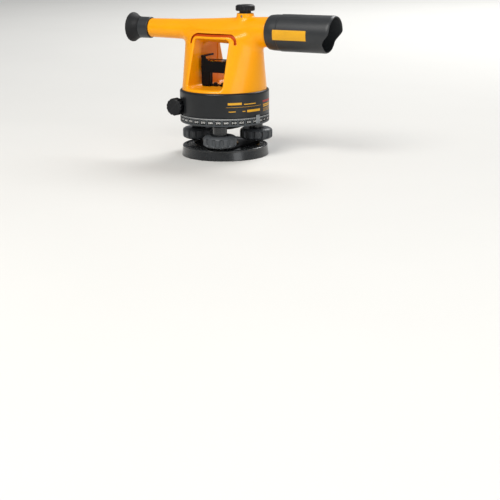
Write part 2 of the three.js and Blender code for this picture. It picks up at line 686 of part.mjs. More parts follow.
function focusKnob() {
  const at = [FOCUS_X, 0, 0];
  const fluted = prismZ(flutedShape(FOCUS_R, 0.9, 14), FOCUS_Z, FOCUS_TOP).translate(at);
  const round = turned([[0, FOCUS_Z], [FOCUS_R - 0.8, FOCUS_Z], [FOCUS_R, FOCUS_Z + 0.8],
    [FOCUS_R, FOCUS_TOP - 1.6], [FOCUS_R - 1.8, FOCUS_TOP], [0, FOCUS_TOP]], 'z', at, MEDIUM);
  const neck = rod(7.5, COLLAR_TOP + 0.4, FOCUS_Z + 1, 'z', at, 28);
  return cut(join(fluted.intersect(round), neck), rod(3 + GAP, 178, FOCUS_TOP - 2.6, 'z', at));
}

add('focus_bush', tube(6, 3 + GAP, 171.4, COLLAR_TOP - 0.4, 'z', [FOCUS_X, 0, 0], 16), BRASS);
add('focus_set_screw', rod(1.2, -9.8, -6.4, 'y', [FOCUS_X, 0, 176.6], 12), STEEL);
add('focus_pinion', focusPinion(), STEEL);
add('focus_knob', focusKnob(), CHARCOAL);
add('focus_carriage', focusCarriage(), ALUMINIUM);
add('focusing_lens', lens(CARRIAGE_R - 1.6, FOCUS_X + 9, FOCUS_X + 11, -0.8, -0.8), GLASS);

// ---------- objective and sunshade ----------
const CELL_R = 20;

function objectiveCell() {
  return turned([
    [SPIGOT_R + GAP, 70], [CELL_R - 1, 70], [CELL_R - 1, 76], [CELL_R, 76], [CELL_R, 92],
    [16.9, 92], [16.9, 79.6], [15, 79.6], [15, 78.4], [SPIGOT_R + GAP, 78.4], [SPIGOT_R + GAP, 70],
  ], 'x', [0, 0, AXIS_Z], 20);
}

/** The curve in X and Z that trims the sunshade's mouth: long above, short below. */
function mouthTrim() {
  const shape = new THREE.Shape();
  const low = AXIS_Z - SHADE_R - 2;
  const high = AXIS_Z + SHADE_R + 2;
  const upper = AXIS_Z + SHADE_R * Math.cos(rad(78));
  const lower = AXIS_Z + SHADE_R * Math.cos(rad(121));
  shape.moveTo(SHADE_LOW_END, low);
  shape.lineTo(SHADE_LOW_END + 0.3, lower);
  shape.bezierCurveTo(SHADE_LOW_END + 1.5, lower + 6, SHADE_END - 2, upper - 6, SHADE_END - 0.8,
    upper);
  shape.lineTo(SHADE_END - 0.2, high);
  shape.lineTo(SHADE_END + 20, high);
  shape.lineTo(SHADE_END + 20, low);
  return prismY(shape, -40, 40, 7);
}

function sunshade() {
  const shell = turned([
    [SPIGOT_R + 4.8, SHADE_START + 5], [18.9, SHADE_START], [19.6, SHADE_START],
    [21.2, SHADE_START + 2.2],
    [22.2, SHADE_START + 7.6], [22.3, 83.2], [SHADE_R, 83.8], [SHADE_R + 0.2, SHADE_END],
    [SHADE_R - 2, SHADE_END], [SHADE_R - 2, 94], [CELL_R + GAP, 93], [CELL_R + GAP, SHADE_START + 5],
    [SPIGOT_R + 4.8, SHADE_START + 5],
  ], 'x', [0, 0, AXIS_Z]);
  return cut(shell, mouthTrim());
}

const retainingRing = tube(16.6, 15, 88, 91, 'x', [0, 0, AXIS_Z]);

add('objective_cell', objectiveCell(), BLACK_SATIN);
add('objective_crown_lens', lens(16.5, 84.2, 86.2, 1.4, 1.2), GLASS);
add('objective_flint_lens', lens(16.5, 80, 82.2, 0, -1), GLASS);
add('objective_retaining_ring', retainingRing, BLACK_SATIN);
add('sunshade', sunshade(), CHARCOAL);

// ---------- eyepiece and reticle ----------
const NECK_END = -121.4;

function eyepieceRing() {
  return turned([
    [BORE_R + 0.1, TUBE_BACK - GAP], [EYE_NECK_R - 0.6, TUBE_BACK - GAP],
    [EYE_NECK_R, TUBE_BACK - GAP - 0.6], [EYE_NECK_R, NECK_END], [BORE_R + 0.1, NECK_END],
    [BORE_R + 0.1, TUBE_BACK - GAP],
  ], 'x', [0, 0, AXIS_Z], 20);
}

function eyecup() {
  return turned([
    [9.4, NECK_END - GAP], [EYE_NECK_R, NECK_END - GAP], [EYE_NECK_R + 0.2, -124.6],
    [EYE_NECK_R + 1.4, -128.4], [EYE_NECK_R + 3.4, -131.8], [EYE_RIM_R, -135],
    [EYE_RIM_R - 0.6, EYE_END], [EYE_RIM_R - 2.4, EYE_END + 0.4], [12.6, -130.8], [9.4, -127],
    [9.4, NECK_END - GAP],
  ], 'x', [0, 0, AXIS_Z], 20);
}

const eyepieceSleeve = tube(BORE_R - GAP, 8, -119, -92, 'x', [0, 0, AXIS_Z]);
const ocularTube = tube(8 - GAP, 6.6, -118, -97, 'x', [0, 0, AXIS_Z], 24);
const reticleRing = tube(BORE_R - GAP, 6.4, -89, -85.4, 'x', [0, 0, AXIS_Z]);

add('eyepiece_ring', eyepieceRing(), CHARCOAL);
add('eyecup', eyecup(), RUBBER);
add('eyepiece_sleeve', eyepieceSleeve, BRASS);
add('ocular_tube', ocularTube, BLACK_SATIN);
add('eye_lens', lens(6.3, -115.6, -114, 1, 0.4), GLASS);
add('field_lens', lens(6.3, -103, -101.4, 0.4, 1), GLASS);
add('reticle_ring', reticleRing, BLACK_SATIN);
add('reticle_glass', rod(6.1, -87.8, -86.6, 'x', [0, 0, AXIS_Z], 20), GLASS);

// ---------- tube vial in its holder ----------
const FRAME_FRONT = -19.5;
const FRAME_BACK = -1.5;
const FRAME_END = 22.4;
const POST_W = 11.7;
const POST_BACK = FRAME_FRONT + 9;
const POST_INNER = FRAME_END - POST_W;
const CHEEK = 3;
const BAR_Z = 106.3;
const BAR_TOP = 120.2;
const FRAME_WALL = 2;
const FOOT_Z = WINDOW_Z + 0.5;
const FOOT_THICK = 2.4;
const FOOT_SCREW_X = 5.5;
const FOOT_SCREW_Y = FRAME_FRONT + 6.5;
const POST_TOP = 127.6;
const ARM_END = 9;

/** The holder's front: two posts, a bar between them and hollow fillets in the corners. */
function frameFront() {
  const shape = new THREE.Shape();
  shape.moveTo(-FRAME_END, FOOT_Z + 3);
  shape.quadraticCurveTo(-FRAME_END, FOOT_Z, -FRAME_END + 3, FOOT_Z);
  shape.lineTo(-POST_INNER, FOOT_Z);
  shape.lineTo(-POST_INNER, BAR_Z);
  shape.lineTo(POST_INNER, BAR_Z);
  shape.lineTo(POST_INNER, FOOT_Z);
  shape.lineTo(FRAME_END - 3, FOOT_Z);
  shape.quadraticCurveTo(FRAME_END, FOOT_Z, FRAME_END, FOOT_Z + 3);
  shape.lineTo(FRAME_END, POST_TOP);
  shape.lineTo(FRAME_END - 4, POST_TOP - 1);
  shape.quadraticCurveTo(FRAME_END - 6.4, BAR_TOP + 1.6, POST_INNER - 1, BAR_TOP);
  shape.lineTo(-POST_INNER + 1, BAR_TOP);
  shape.quadraticCurveTo(-FRAME_END + 6.4, BAR_TOP + 1.6, -FRAME_END + 4, POST_TOP - 1);
  shape.lineTo(-FRAME_END, POST_TOP);
  return prismY(shape, FRAME_FRONT, FRAME_FRONT + FRAME_WALL);
}

/** The same box at both ends of the holder, from one distance from its middle to another. */
function bothEnds(near, far, [y0, z0], [y1, z1]) {
  return [block([-far, y0, z0], [-near, y1, z1]), block([near, y0, z0], [far, y1, z1])];
}

function vialFrame() {
  const posts = bothEnds(POST_INNER, FRAME_END - 1, [FRAME_FRONT, FOOT_Z],
    [POST_BACK, BAR_Z + 1]);
  const cheeks = bothEnds(FRAME_END - CHEEK, FRAME_END, [FRAME_FRONT, BAR_Z],
    [FRAME_BACK, BAR_TOP]);
  const arms = bothEnds(FRAME_END - CHEEK, FRAME_END, [FRAME_FRONT, POST_TOP - 2.4],
    [ARM_END, POST_TOP]);
  const feet = bothEnds(1, POST_INNER + 1, [POST_BACK - 5, FOOT_Z],
    [POST_BACK, FOOT_Z + FOOT_THICK]);
  const tray = block([-FRAME_END, FRAME_FRONT, BAR_Z],
    [FRAME_END, FRAME_BACK, BAR_Z + FRAME_WALL]);
  const back = block([-FRAME_END, FRAME_BACK - FRAME_WALL, BAR_Z],
    [FRAME_END, FRAME_BACK, BAR_TOP + 1.4]);
  const bolts = [-1, 1].map((side) => rod(1.5, FOOT_Z - 1, FOOT_Z + 4, 'z',
    [side * FOOT_SCREW_X, FOOT_SCREW_Y, 0]));
  return cut(join(frameFront(), ...posts, ...cheeks, ...arms, ...feet, tray, back), ...bolts);
}

const VIAL_HALF = FRAME_END - CHEEK - 0.6;
const VIAL_WALL = 1.2;
const CAP_W = 5;

/** The spirit, with the air bubble as a pocket in its top. */
function vialSpirit() {
  const end = VIAL_HALF - 2;
  const liquid = rod(VIAL_R - VIAL_WALL - GAP, -end, end, 'x', [0, VIAL_Y, VIAL_Z], 16);
  return cut(liquid, block([-7, VIAL_Y - 3.4, VIAL_Z + 2.2], [7, VIAL_Y + 3.4, VIAL_Z + 8]));
}

/** The cap that holds one end of the vial. */
function vialEndCap(side) {
  const outer = FRAME_END - CHEEK - GAP;
  const [from, to] = side < 0 ? [-outer, -outer + CAP_W] : [outer - CAP_W, outer];
  return tube(VIAL_R + 0.9, VIAL_R + GAP, from, to, 'x', [0, VIAL_Y, VIAL_Z], 16);
}

function vialFootScrew(side) {
  const seat = FOOT_Z + FOOT_THICK + GAP;
  return rod(2.6, seat, seat + 1.7, 'z', [side * FOOT_SCREW_X, FOOT_SCREW_Y, 0], 16);
}

add('vial_frame', vialFrame(), BLACK_GLOSS);
add('vial_tube', tube(VIAL_R, VIAL_R - VIAL_WALL, -VIAL_HALF, VIAL_HALF, 'x',
  [0, VIAL_Y, VIAL_Z], 16), GLASS);
add('vial_spirit', vialSpirit(), SPIRIT);
for (const [end, side] of [['left', -1], ['right', 1]]) {
  add(`vial_${end}_cap`, vialEndCap(side), BRASS);
  add(`vial_${end}_screw`, vialFootScrew(side), STEEL);
}

export default group;
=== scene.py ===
"""Looks for a builder's level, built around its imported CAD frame. Lengths in this script are
millimetres and become metres where a mesh is made. +X runs along the telescope, +Z is up."""
import json
from math import atan2, ceil, cos, pi, radians, sin

import bpy
import numpy as np
from mathutils import Matrix, Vector


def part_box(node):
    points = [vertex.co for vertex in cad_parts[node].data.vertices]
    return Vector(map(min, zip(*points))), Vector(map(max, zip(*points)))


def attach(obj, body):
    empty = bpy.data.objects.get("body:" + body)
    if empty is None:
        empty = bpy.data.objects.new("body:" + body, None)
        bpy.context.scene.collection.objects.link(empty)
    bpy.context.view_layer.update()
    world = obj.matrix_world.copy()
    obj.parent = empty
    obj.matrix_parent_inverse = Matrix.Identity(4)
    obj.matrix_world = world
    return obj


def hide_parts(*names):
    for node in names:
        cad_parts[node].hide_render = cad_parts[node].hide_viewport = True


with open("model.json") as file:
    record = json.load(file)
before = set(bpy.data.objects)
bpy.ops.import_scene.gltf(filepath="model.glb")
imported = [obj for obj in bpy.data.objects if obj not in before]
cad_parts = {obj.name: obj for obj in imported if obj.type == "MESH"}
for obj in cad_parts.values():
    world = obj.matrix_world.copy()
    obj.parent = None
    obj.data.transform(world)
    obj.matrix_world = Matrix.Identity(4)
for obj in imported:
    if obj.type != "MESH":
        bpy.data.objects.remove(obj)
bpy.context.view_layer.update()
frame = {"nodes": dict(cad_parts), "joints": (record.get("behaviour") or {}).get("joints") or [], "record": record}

MM = 0.001
INCH = 25.4
GAP = 0.3
RECORD = frame["record"]
JOINTS = {joint["name"]: joint for joint in frame["joints"]}
BODY_OF = {n: b for b, nodes in RECORD["behaviour"]["bodies"].items() for n in nodes}


# ---- places taken from the frame ----
def low(node):
    return np.array(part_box(node)[0]) / MM


def high(node):
    return np.array(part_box(node)[1]) / MM


def middle(node):
    return (low(node) + high(node)) / 2


def half(node):
    return (high(node) - low(node)) / 2


def joint_at(name):
    return np.array(JOINTS[name]["pos_m"]) / MM


AXIS_Z = joint_at("dioptre_turn")[2]
FOCUS_X = joint_at("focus_turn")[0]
WORM_X, WORM_Z = joint_at("tangent_turn")[[0, 2]]
SIDES = ("front", "right", "left")
SCREW = {side: joint_at(f"{side}_turn")[:2] for side in SIDES}
SCREW_ANGLE = {side: atan2(SCREW[side][1], SCREW[side][0]) for side in SIDES}
SCREW_CIRCLE = float(np.hypot(*SCREW["front"]))
BALL_Z = joint_at("roll")[2]
TELESCOPE = (0, 0, AXIS_Z)
PILLAR = (0, 0, 0)


# ---- meshes ----
def add(name, data):
    """A new object in the scene."""
    holder = bpy.data.objects.new(name, data)
    bpy.context.scene.collection.objects.link(holder)
    return holder


def new_piece(name, verts, faces, node, material, stands=True, normals=None, sharp=None,
              along=None):
    """A piece made from millimetre vertices. It rides with a CAD node and may stand for it."""
    mesh = bpy.data.meshes.new(name)
    mesh.from_pydata((np.asarray(verts) * MM).tolist(), [], [list(map(int, f)) for f in faces])
    mesh.shade_smooth()
    if sharp is not None:
        mesh.set_sharp_from_angle(angle=radians(sharp))
    if normals is not None:
        mesh.normals_split_custom_set_from_vertices(normals.tolist())
    if along is not None:
        mesh.attributes.new("along", "FLOAT", "POINT").data.foreach_set("value", along)
    mesh.materials.append(material)
    piece = add(name, mesh)
    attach(piece, BODY_OF[node])
    if stands:
        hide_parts(node)
    return piece


def outline(points, radius=0.4, steps=4):
    """A line with rounded corners. A point is (r, h) or (r, h, a corner radius of its own)."""
    flat = [np.array(p[:2], float) for p in points]
    closed = np.allclose(flat[0], flat[-1])
    last = len(points) - 1
    result = []
    for i, point in enumerate(points[:-1] if closed else points):
        size = point[2] if len(point) > 2 else radius
        here = flat[i]
        if size <= 0 or (not closed and i in (0, last)):
            result.append(here)
            continue
        back, ahead = (flat[i - 1] if i else flat[-2]) - here, flat[i + 1] - here
        reach = min(size, 0.45 * np.hypot(*back), 0.45 * np.hypot(*ahead))
        start = here + back / np.hypot(*back) * reach
        end = here + ahead / np.hypot(*ahead) * reach
        for t in np.linspace(0, 1, steps + 1):
            result.append((1 - t) ** 2 * start + 2 * t * (1 - t) * here + t * t * end)
    return np.array(result + result[:1] if closed else result)


def subdivided(line, longest):
    """The same line with no step longer than that."""
    result = [line[0]]
    for a, b in zip(line[:-1], line[1:]):
        count = max(1, ceil(np.hypot(*(b - a)) / longest))
        result += [a + (b - a) * k / count for k in range(1, count + 1)]
    return np.array(result)


def on_axis(r, h, angle, axis, at):
    """Points of a turned surface. The angle starts at +X, or at +Y about an axis along X."""
    a, b = r * np.cos(angle), r * np.sin(angle)
    x, y, z = at
    if axis == "x":
        return np.stack([x + h, y + a, z + b], -1)
    if axis == "y":
        return np.stack([x + b, y + h, z + a], -1)
    return np.stack([x + a, y + b, z + h], -1)


def outward(verts, faces):
    """Turns every face round if the closed mesh is inside out."""
    verts = np.asarray(verts, float)
    volume = 0.0
    for face in faces:
        p = verts[list(face)]
        volume += np.einsum("ij,ij->", np.cross(p[1:-1] - p[0], p[2:] - p[0]), p[1:-1])
    return verts, [tuple(face)[::-1] for face in faces] if volume < 0 else faces


def turn(name, points, axis, at, node, material, steps=96, radius=0.4, shape=None, longest=1e3,
         **more):
    """A turned solid. shape(r, h, angle) gives new r and h, for what isn't round."""
    line = subdivided(outline(points, radius), longest)
    line[:, 0] = np.maximum(line[:, 0], 0.02)
    closed = np.allclose(line[0], line[-1])
    travelled = np.concatenate([[0], np.cumsum(np.hypot(*np.diff(line, axis=0).T))])
    if closed:
        line, travelled = line[:-1], travelled[:-1]
    rows = len(line)
    angle = np.repeat(np.arange(steps)[None] * 2 * pi / steps, rows, 0)
    r, h = np.repeat(line[:, :1], steps, 1), np.repeat(line[:, 1:], steps, 1)
    if shape:
        r, h = shape(r, h, angle)
    verts = on_axis(r, h, angle, axis, at).reshape(-1, 3)
    i = np.arange(rows if closed else rows - 1)[:, None] * steps
    j = (i + steps) % (rows * steps)
    k = np.arange(steps)[None]
    m = (k + 1) % steps
    faces = np.stack([i + k, i + m, j + m, j + k], -1).reshape(-1, 4).tolist()
    if not closed:
        faces += [tuple(range(steps))[::-1], tuple(range((rows - 1) * steps, rows * steps))]
    verts, faces = outward(verts, faces)
    return new_piece(name, verts, faces, node, material, sharp=38,
                     along=np.repeat(travelled, steps), **more)


def sleeve(name, axis, at, node, material, inner, outer, start, end, **more):
    """A plain tube between two places on its axis, with broken edges."""
    turn(name, [(inner, start), (outer, start), (outer, end), (inner, end), (inner, start)],
         axis, at, node, material, **more)


# ---- shapes by distance ----
def union(a, b, k=0.0):
    """The union of two distances, with a fillet of about k."""
    if k <= 0:
        return np.minimum(a, b)
    h = np.maximum(k - np.abs(a - b), 0) / k
    return np.minimum(a, b) - h * h * k / 4


def meet(a, b, k=0.0):
    return -union(-a, -b, k)


def carve(a, b, k=0.0):
    return meet(a, -b, k)


def rect(u, v, half_u, half_v, r=0.0):
    """The distance to a rectangle about the origin with corners of radius r."""
    du, dv = np.abs(u) - half_u + r, np.abs(v) - half_v + r
    return np.hypot(np.maximum(du, 0), np.maximum(dv, 0)) + np.minimum(np.maximum(du, dv), 0) - r


def box(x, y, z, near, far, r=0.3):
    """The distance to a box between two corners, with edges of radius r."""
    d = [np.abs(p - (a + b) / 2) - (b - a) / 2 + r for p, a, b in zip((x, y, z), near, far)]
    outside = np.sqrt(sum(np.maximum(q, 0) ** 2 for q in d))
    return outside + np.minimum(np.maximum(np.maximum(d[0], d[1]), d[2]), 0) - r


def drum(radial, along, radius, start, end, k=0.5):
    """The distance to a rod between two places on its axis, with edges rounded by about k."""
    return meet(radial - radius, np.abs(along - (start + end) / 2) - (end - start) / 2, k)


def spaced(*runs):
    """Grid lines along one axis, from (start, end, step) runs that follow one another."""
    lines = [np.linspace(a, b, max(2, round((b - a) / step) + 1))[:-1] for a, b, step in runs]
    return np.concatenate(lines + [[runs[-1][1]]])


def net(shape, grid):
    """Vertices, quads and normals of the surface where shape(x, y, z) is 0, on a grid."""
    x, y, z = grid[0][:, None, None], grid[1][None, :, None], grid[2][None, None, :]
    value = np.ascontiguousarray(np.broadcast_to(shape(x, y, z), [len(a) for a in grid]))
    inside = value < 0
    count = [n - 1 for n in value.shape]
    corner = list(np.ndindex(2, 2, 2))
    total = sum(inside[tuple(slice(a, a + n) for a, n in zip(c, count))].astype(np.int8)
                for c in corner)
    cells = np.argwhere((total > 0) & (total < 8))
    index = np.full(count, -1, np.int64)
    index[tuple(cells.T)] = np.arange(len(cells))
    place, hits = np.zeros((len(cells), 3)), np.zeros(len(cells))
    for c in corner:
        for axis in range(3):
            if c[axis]:
                continue
            d = tuple(v + (n == axis) for n, v in enumerate(c))
            va, vb = value[tuple((cells + c).T)], value[tuple((cells + d).T)]
            crossing = (va < 0) != (vb < 0)
            point = cells + np.array(c, float)
            point[:, axis] += np.where(crossing, va / np.where(crossing, va - vb, 1), 0)
            place[crossing] += point[crossing]
            hits += crossing
    place /= hits[:, None]
    verts = np.stack([np.interp(p, np.arange(len(a)), a) for p, a in zip(place.T, grid)], -1)
    faces = []
    for axis in range(3):
        b, c = (axis + 1) % 3, (axis + 2) % 3
        first, second = [slice(1, -1)] * 3, [slice(1, -1)] * 3
        first[axis], second[axis] = slice(None, -1), slice(1, None)
        one, other = inside[tuple(first)], inside[tuple(second)]
        for edges, flip in ((one & ~other, False), (~one & other, True)):
            at = np.argwhere(edges)
            at[:, [b, c]] += 1
            ring = []
            for db, dc in ((-1, -1), (0, -1), (0, 0), (-1, 0)):
                q = at.copy()
                q[:, b] += db
                q[:, c] += dc
                ring.append(index[tuple(q.T)])
            quad = np.stack(ring, -1)
            faces.append(quad[:, ::-1] if flip else quad)
    limit = 0.4 * min(np.diff(a).min() for a in grid)
    for _ in range(3):
        slope = np.stack([
            shape(*(verts + 0.01 * e).T) - shape(*(verts - 0.01 * e).T) for e in np.eye(3)
        ], -1) / 0.02
        size = np.maximum(np.linalg.norm(slope, axis=1, keepdims=True), 1e-6)
        normals = slope / size
        verts = verts - normals * np.clip(
            shape(*verts.T)[:, None] / np.maximum(size, 0.3), -limit, limit)
    return verts, np.concatenate(faces), normals


def around(node, step, margin=1.0):
    """An even grid round a CAD node."""
    return [np.arange(a - margin, b + margin + step, step) for a, b in zip(low(node), high(node))]


def moulded(name, shape, grid, node, material):
    """A piece whose surface is where shape(x, y, z) is 0. A number for grid is an even step."""
    grid = around(node, grid) if isinstance(grid, float) else grid
    verts, faces, normals = net(shape, grid)
    return new_piece(name, verts, faces, node, material, normals=normals)


def ribbed(radius, depth, count, blend):
    """A shape for turn() that gives a knob rounded ribs where it is widest."""
    def shape(r, h, angle):
        wave = np.sqrt(np.cos(count / 2 * angle) ** 2 + 0.015)
        return union(r, radius - depth * (1 - wave), blend), h
    return shape


def helix(h, angle, pitch):
    """A wave from 0 to 1 and back along the height, which climbs by pitch in each turn."""
    return np.abs((h / pitch - angle / (2 * pi)) % 1 * 2 - 1)


# ---- finishes ----
def linear(code):
    """A hex sRGB colour as the shader's linear one."""
    parts = [int(code[i:i + 2], 16) / 255 for i in (0, 2, 4)]
    return [((c + 0.055) / 1.055) ** 2.4 if c > 0.04045 else c / 12.92 for c in parts] + [1]


def finish(name, colour, rough, metal=0.0, coat=0.0, mottle=0.08, patch=45, edge_wear_and_highlight=None, dust=0.0,
           grain=900, relief=0.01, peel=0.0, rings=0.0, smudge=0.06, glass=0.0, film=0, ior=1.5):
    """A procedural material: mottled colour, lighter edges (rubbed wear and painted highlight), dust, uneven gloss
    and fine relief.

    patch and grain are noise scales per metre, and relief, peel and rings are heights in mm."""
    material = bpy.data.materials.new(name)
    material.use_nodes = True
    nodes, links = material.node_tree.nodes, material.node_tree.links
    shader = nodes["Principled BSDF"]

    def node(kind, inputs, **options):
        """A node with its inputs linked or set. Linked ones are given as sockets."""
        made = nodes.new("ShaderNode" + kind)
        for key, value in options.items():
            setattr(made, key, value)
        for key, value in inputs.items():
            if isinstance(value, bpy.types.NodeSocket):
                links.new(value, made.inputs[key])
            else:
                made.inputs[key].default_value = value
        return made.outputs

    place = node("TexCoord", {})["Object"]

    def noise(scale, detail=3.0):
        return node("TexNoise", {"Scale": scale, "Detail": detail, "Vector": place})["Fac"]

    def spread(value, start, end, a, b):
        return node("MapRange", {"Value": value, "From Min": start, "From Max": end,
                                 "To Min": a, "To Max": b})["Result"]

    def blend(share, a, b):
        return node("Mix", {"Factor": share, 6: a, 7: b}, data_type="RGBA")[2]

    def product(a, b):
        return node("Math", {0: a, 1: b}, operation="MULTIPLY")[0]

    def bump(height, depth, **before):
        return node("Bump", {"Distance": depth * MM, "Height": height, **before})["Normal"]

    base = linear(colour)
    dark, light, speck = ([min(1, c * f) for c in base[:3]] + [1]
                          for f in (1 - mottle, 1 + mottle, 1 + 4 * mottle))
    tone = blend(spread(noise(patch), 0.3, 0.7, 0, 1), dark, light)
    tone = blend(spread(noise(grain, 2), 0.5, 0.8, 0, 0.5), tone, speck)
    # Convex edges take the lighter edge colour in noisy patches: on the yellow a painted highlight, on the black
    # and grey finishes rubbed wear with a slight painted highlight.
    if edge_wear_and_highlight:
        edge = spread(node("NewGeometry", {})["Pointiness"], 0.53, 0.62, 0, 1)
        tone = blend(product(edge, spread(noise(260), 0.42, 0.62, 0, 0.8)), tone, linear(edge_wear_and_highlight))
    rough_low, rough_high = max(0.02, rough - smudge), rough + smudge
    roughness = spread(noise(patch * 2.3, 4), 0.3, 0.7, rough_low, rough_high)
    if dust:
        up = node("SeparateXYZ", {0: node("NewGeometry", {})["Normal"]})["Z"]
        lying = product(spread(up, 0.5, 1, 0, 1), spread(noise(150, 6), 0.35, 0.75, 0, dust))
        tone = blend(lying, tone, linear("b9b2a4"))
    links.new(tone, shader.inputs["Base Color"])
    links.new(roughness, shader.inputs["Roughness"])
    shader.inputs["Metallic"].default_value = metal
    shader.inputs["IOR"].default_value = ior
    if coat:
        shader.inputs["Coat Weight"].default_value = coat
        shader.inputs["Coat Roughness"].default_value = 0.06
    if glass:
        shader.inputs["Transmission Weight"].default_value = glass
        shader.inputs["Thin Film Thickness"].default_value = film
    normal = bump(noise(grain, 4), relief)
    if peel:
        normal = bump(noise(420, 1), peel, Normal=normal)
    if rings:
        along = node("Attribute", {}, attribute_name="along")["Fac"]
        line = node("TexNoise", {"Scale": 5, "W": along}, noise_dimensions="1D")["Fac"]
        normal = bump(line, rings, Normal=normal)
    links.new(normal, shader.inputs["Normal"])
    return material


PLASTIC = {"relief": 0.012, "grain": 2600, "dust": 0.01}
# The yellow's lighter edge colour is a painted highlight along rims and fillets, where light catches them.
YELLOW = finish("yellow_enamel", "ffa500", 0.34, coat=0.1, mottle=0.03, patch=30, peel=0.012,
                relief=0.002, dust=0.01, edge_wear_and_highlight="ffc845", smudge=0.05, ior=1.33)
# A darker orange that paints the shade inside the groove over the window.
GROOVE_SHADE = finish("painted_groove_shade", "c44a0a", 0.5, mottle=0.07, relief=0.008, ior=1.3)
GLOSS = finish("gloss_black_enamel", "1b1d1f", 0.26, coat=0.25, mottle=0.15, peel=0.012,
               relief=0.003, dust=0.02, edge_wear_and_highlight="3a3936")
MATT = finish("matt_black_paint", "08090a", 0.5, mottle=0.15, relief=0.006, grain=2600,
              edge_wear_and_highlight="2c2b29", ior=1.22)
SATIN = finish("satin_black_paint", "191b1d", 0.34, mottle=0.1, relief=0.006, grain=2600,
               dust=0.01, edge_wear_and_highlight="4a4945", ior=1.42)
CHARCOAL = finish("charcoal_plastic", "2c2e30", 0.4, edge_wear_and_highlight="505356", ior=1.45, **PLASTIC)
KNOB_GREY = finish("grey_plastic", "45484b", 0.4, edge_wear_and_highlight="5a5d60", ior=1.45, **PLASTIC)
KNOB_BLACK = finish("black_plastic", "151618", 0.42, mottle=0.1, edge_wear_and_highlight="3c3e40", ior=1.36,
                    **PLASTIC)
RUBBER = finish("black_rubber", "161719", 0.6, mottle=0.1, relief=0.02, grain=2000, dust=0.03,
                ior=1.36)
ANODISED = finish("black_anodised", "141517", 0.42, mottle=0.1, metal=0.3, rings=0.02)
CIRCLE_GREY = finish("circle_anodised", "404447", 0.45, metal=0.25, mottle=0.06, rings=0.01,
                     edge_wear_and_highlight="8a8d8f")
INDEX_GREY = finish("index_aluminium", "8e9294", 0.4, metal=0.3, mottle=0.05, relief=0.01)
BRASS = finish("turned_brass", "c79c55", 0.28, metal=1, mottle=0.12, rings=0.03, patch=90)
STEEL = finish("turned_steel", "b4b8bb", 0.27, metal=1, rings=0.03, patch=90)
BLACKENED = finish("blackened_steel", "2a2b2d", 0.35, metal=0.8, mottle=0.1, rings=0.02, patch=90)
ALUMINIUM = finish("turned_aluminium", "c3c6c8", 0.35, metal=1, mottle=0.06, rings=0.02)
CLEAR = {"relief": 0.0003, "smudge": 0.02}
GLASS = finish("clear_glass", "f4fbf8", 0.03, mottle=0.01, glass=1, **CLEAR)
COATED = finish("coated_glass", "e9eefc", 0.03, mottle=0.01, glass=1, film=330, **CLEAR)
SPIRIT = finish("yellow_green_spirit", "d3e84e", 0.05, mottle=0.03, glass=0.92, ior=1.36, **CLEAR)
WHITE_PRINT = finish("white_print", "f2f2ee", 0.5, mottle=0.04, relief=0.004)
BLACK_PRINT = finish("black_print", "060607", 0.5, mottle=0.12, relief=0.004, ior=1.25)
YELLOW_PRINT = finish("yellow_print", "e0a30e", 0.5, mottle=0.06, relief=0.004)
RED_PRINT = finish("red_print", "a3201a", 0.5, relief=0.004)


# ---- footplate and seats ----
FOOT_EDGE = max(high("footplate")[0], -low("footplate")[0])
PLATE_LOW = low("spring_plate")[2]
SEAT_R, SEAT_HALF = half("right_foot_seat")[0], 7
WELL_Z = low("right_foot_seat")[2] - GAP
BALL_R = half("front_ball_foot")[0]
BUSH_R = 13


def seat_frame(x, y, side):
    """Distances from a screw's axis, along its radius and across it."""
    c, s = cos(SCREW_ANGLE[side]), sin(SCREW_ANGLE[side])
    return x * c + y * s - SCREW_CIRCLE, y * c - x * s


def footplate(x, y, z):
    r = np.hypot(x, y)
    top = PLATE_LOW - GAP
    disc = drum(r, z, FOOT_EDGE - 0.12 * np.maximum(z, 0), 0, top, 0.8)
    rim = np.hypot(r - (FOOT_EDGE - 3.4), (z - top) * 1.6) - 1.75
    whole = union(disc, rim, 1.6)
    whole = carve(whole, np.maximum(r - BUSH_R - GAP, -z - 1), 0.5)
    for side in SIDES:
        along, across = seat_frame(x, y, side)
        if side == "front":
            lying = meet(np.hypot(across, z - BALL_Z) - SEAT_R - GAP,
                         np.abs(along) - SEAT_HALF - GAP)
            above = meet(rect(along, across, SEAT_HALF + GAP, SEAT_R + GAP, 0.4), BALL_Z - z)
            whole = carve(whole, union(lying, above), 0.5)
        else:
            well = np.maximum(np.hypot(along, across) - SEAT_R - GAP, WELL_Z - z)
            whole = carve(whole, well, 0.5)
    return whole


def spring_plate(x, y, z):
    r, angle = np.hypot(x, y), np.arctan2(y, x)
    lobe = (1 + np.cos(3 * (angle - SCREW_ANGLE["front"]))) / 2
    leaf = (r - 30.8 - 17 * lobe ** 1.6) * 0.7
    leaf = carve(leaf, r - BUSH_R - GAP)
    for side in SIDES:
        along, across = seat_frame(x, y, side)
        leaf = carve(leaf, np.hypot(along, across) - 3.3)
    return meet(leaf, np.abs(z - PLATE_LOW - 0.5) - 0.5, 0.4)


def seat(side):
    def shape(x, y, z):
        along, across = seat_frame(x, y, side)
        top = high(f"{side}_foot_seat")[2]
        if side == "front":
            body = meet(np.hypot(across, z - BALL_Z) - SEAT_R, np.abs(along) - SEAT_HALF, 0.4)
            body = meet(body, z - top, 0.4)
        else:
            body = drum(np.hypot(along, across), z, SEAT_R, low(f"{side}_foot_seat")[2], top, 0.5)
        ball = np.sqrt(along ** 2 + across ** 2 + np.minimum(z - BALL_Z, 0) ** 2) - BALL_R - GAP
        return carve(body, ball, 0.4)
    return shape


moulded("footplate_disc", footplate, 0.75, "footplate", GLOSS)
moulded("spring_leaf", spring_plate, [
    *around("spring_plate", 0.6)[:2], spaced((PLATE_LOW - 0.6, PLATE_LOW + 1.6, 0.22))
], "spring_plate", MATT)
for side in SIDES:
    moulded(f"{side}_ball_seat", seat(side), 0.35, f"{side}_foot_seat", STEEL)

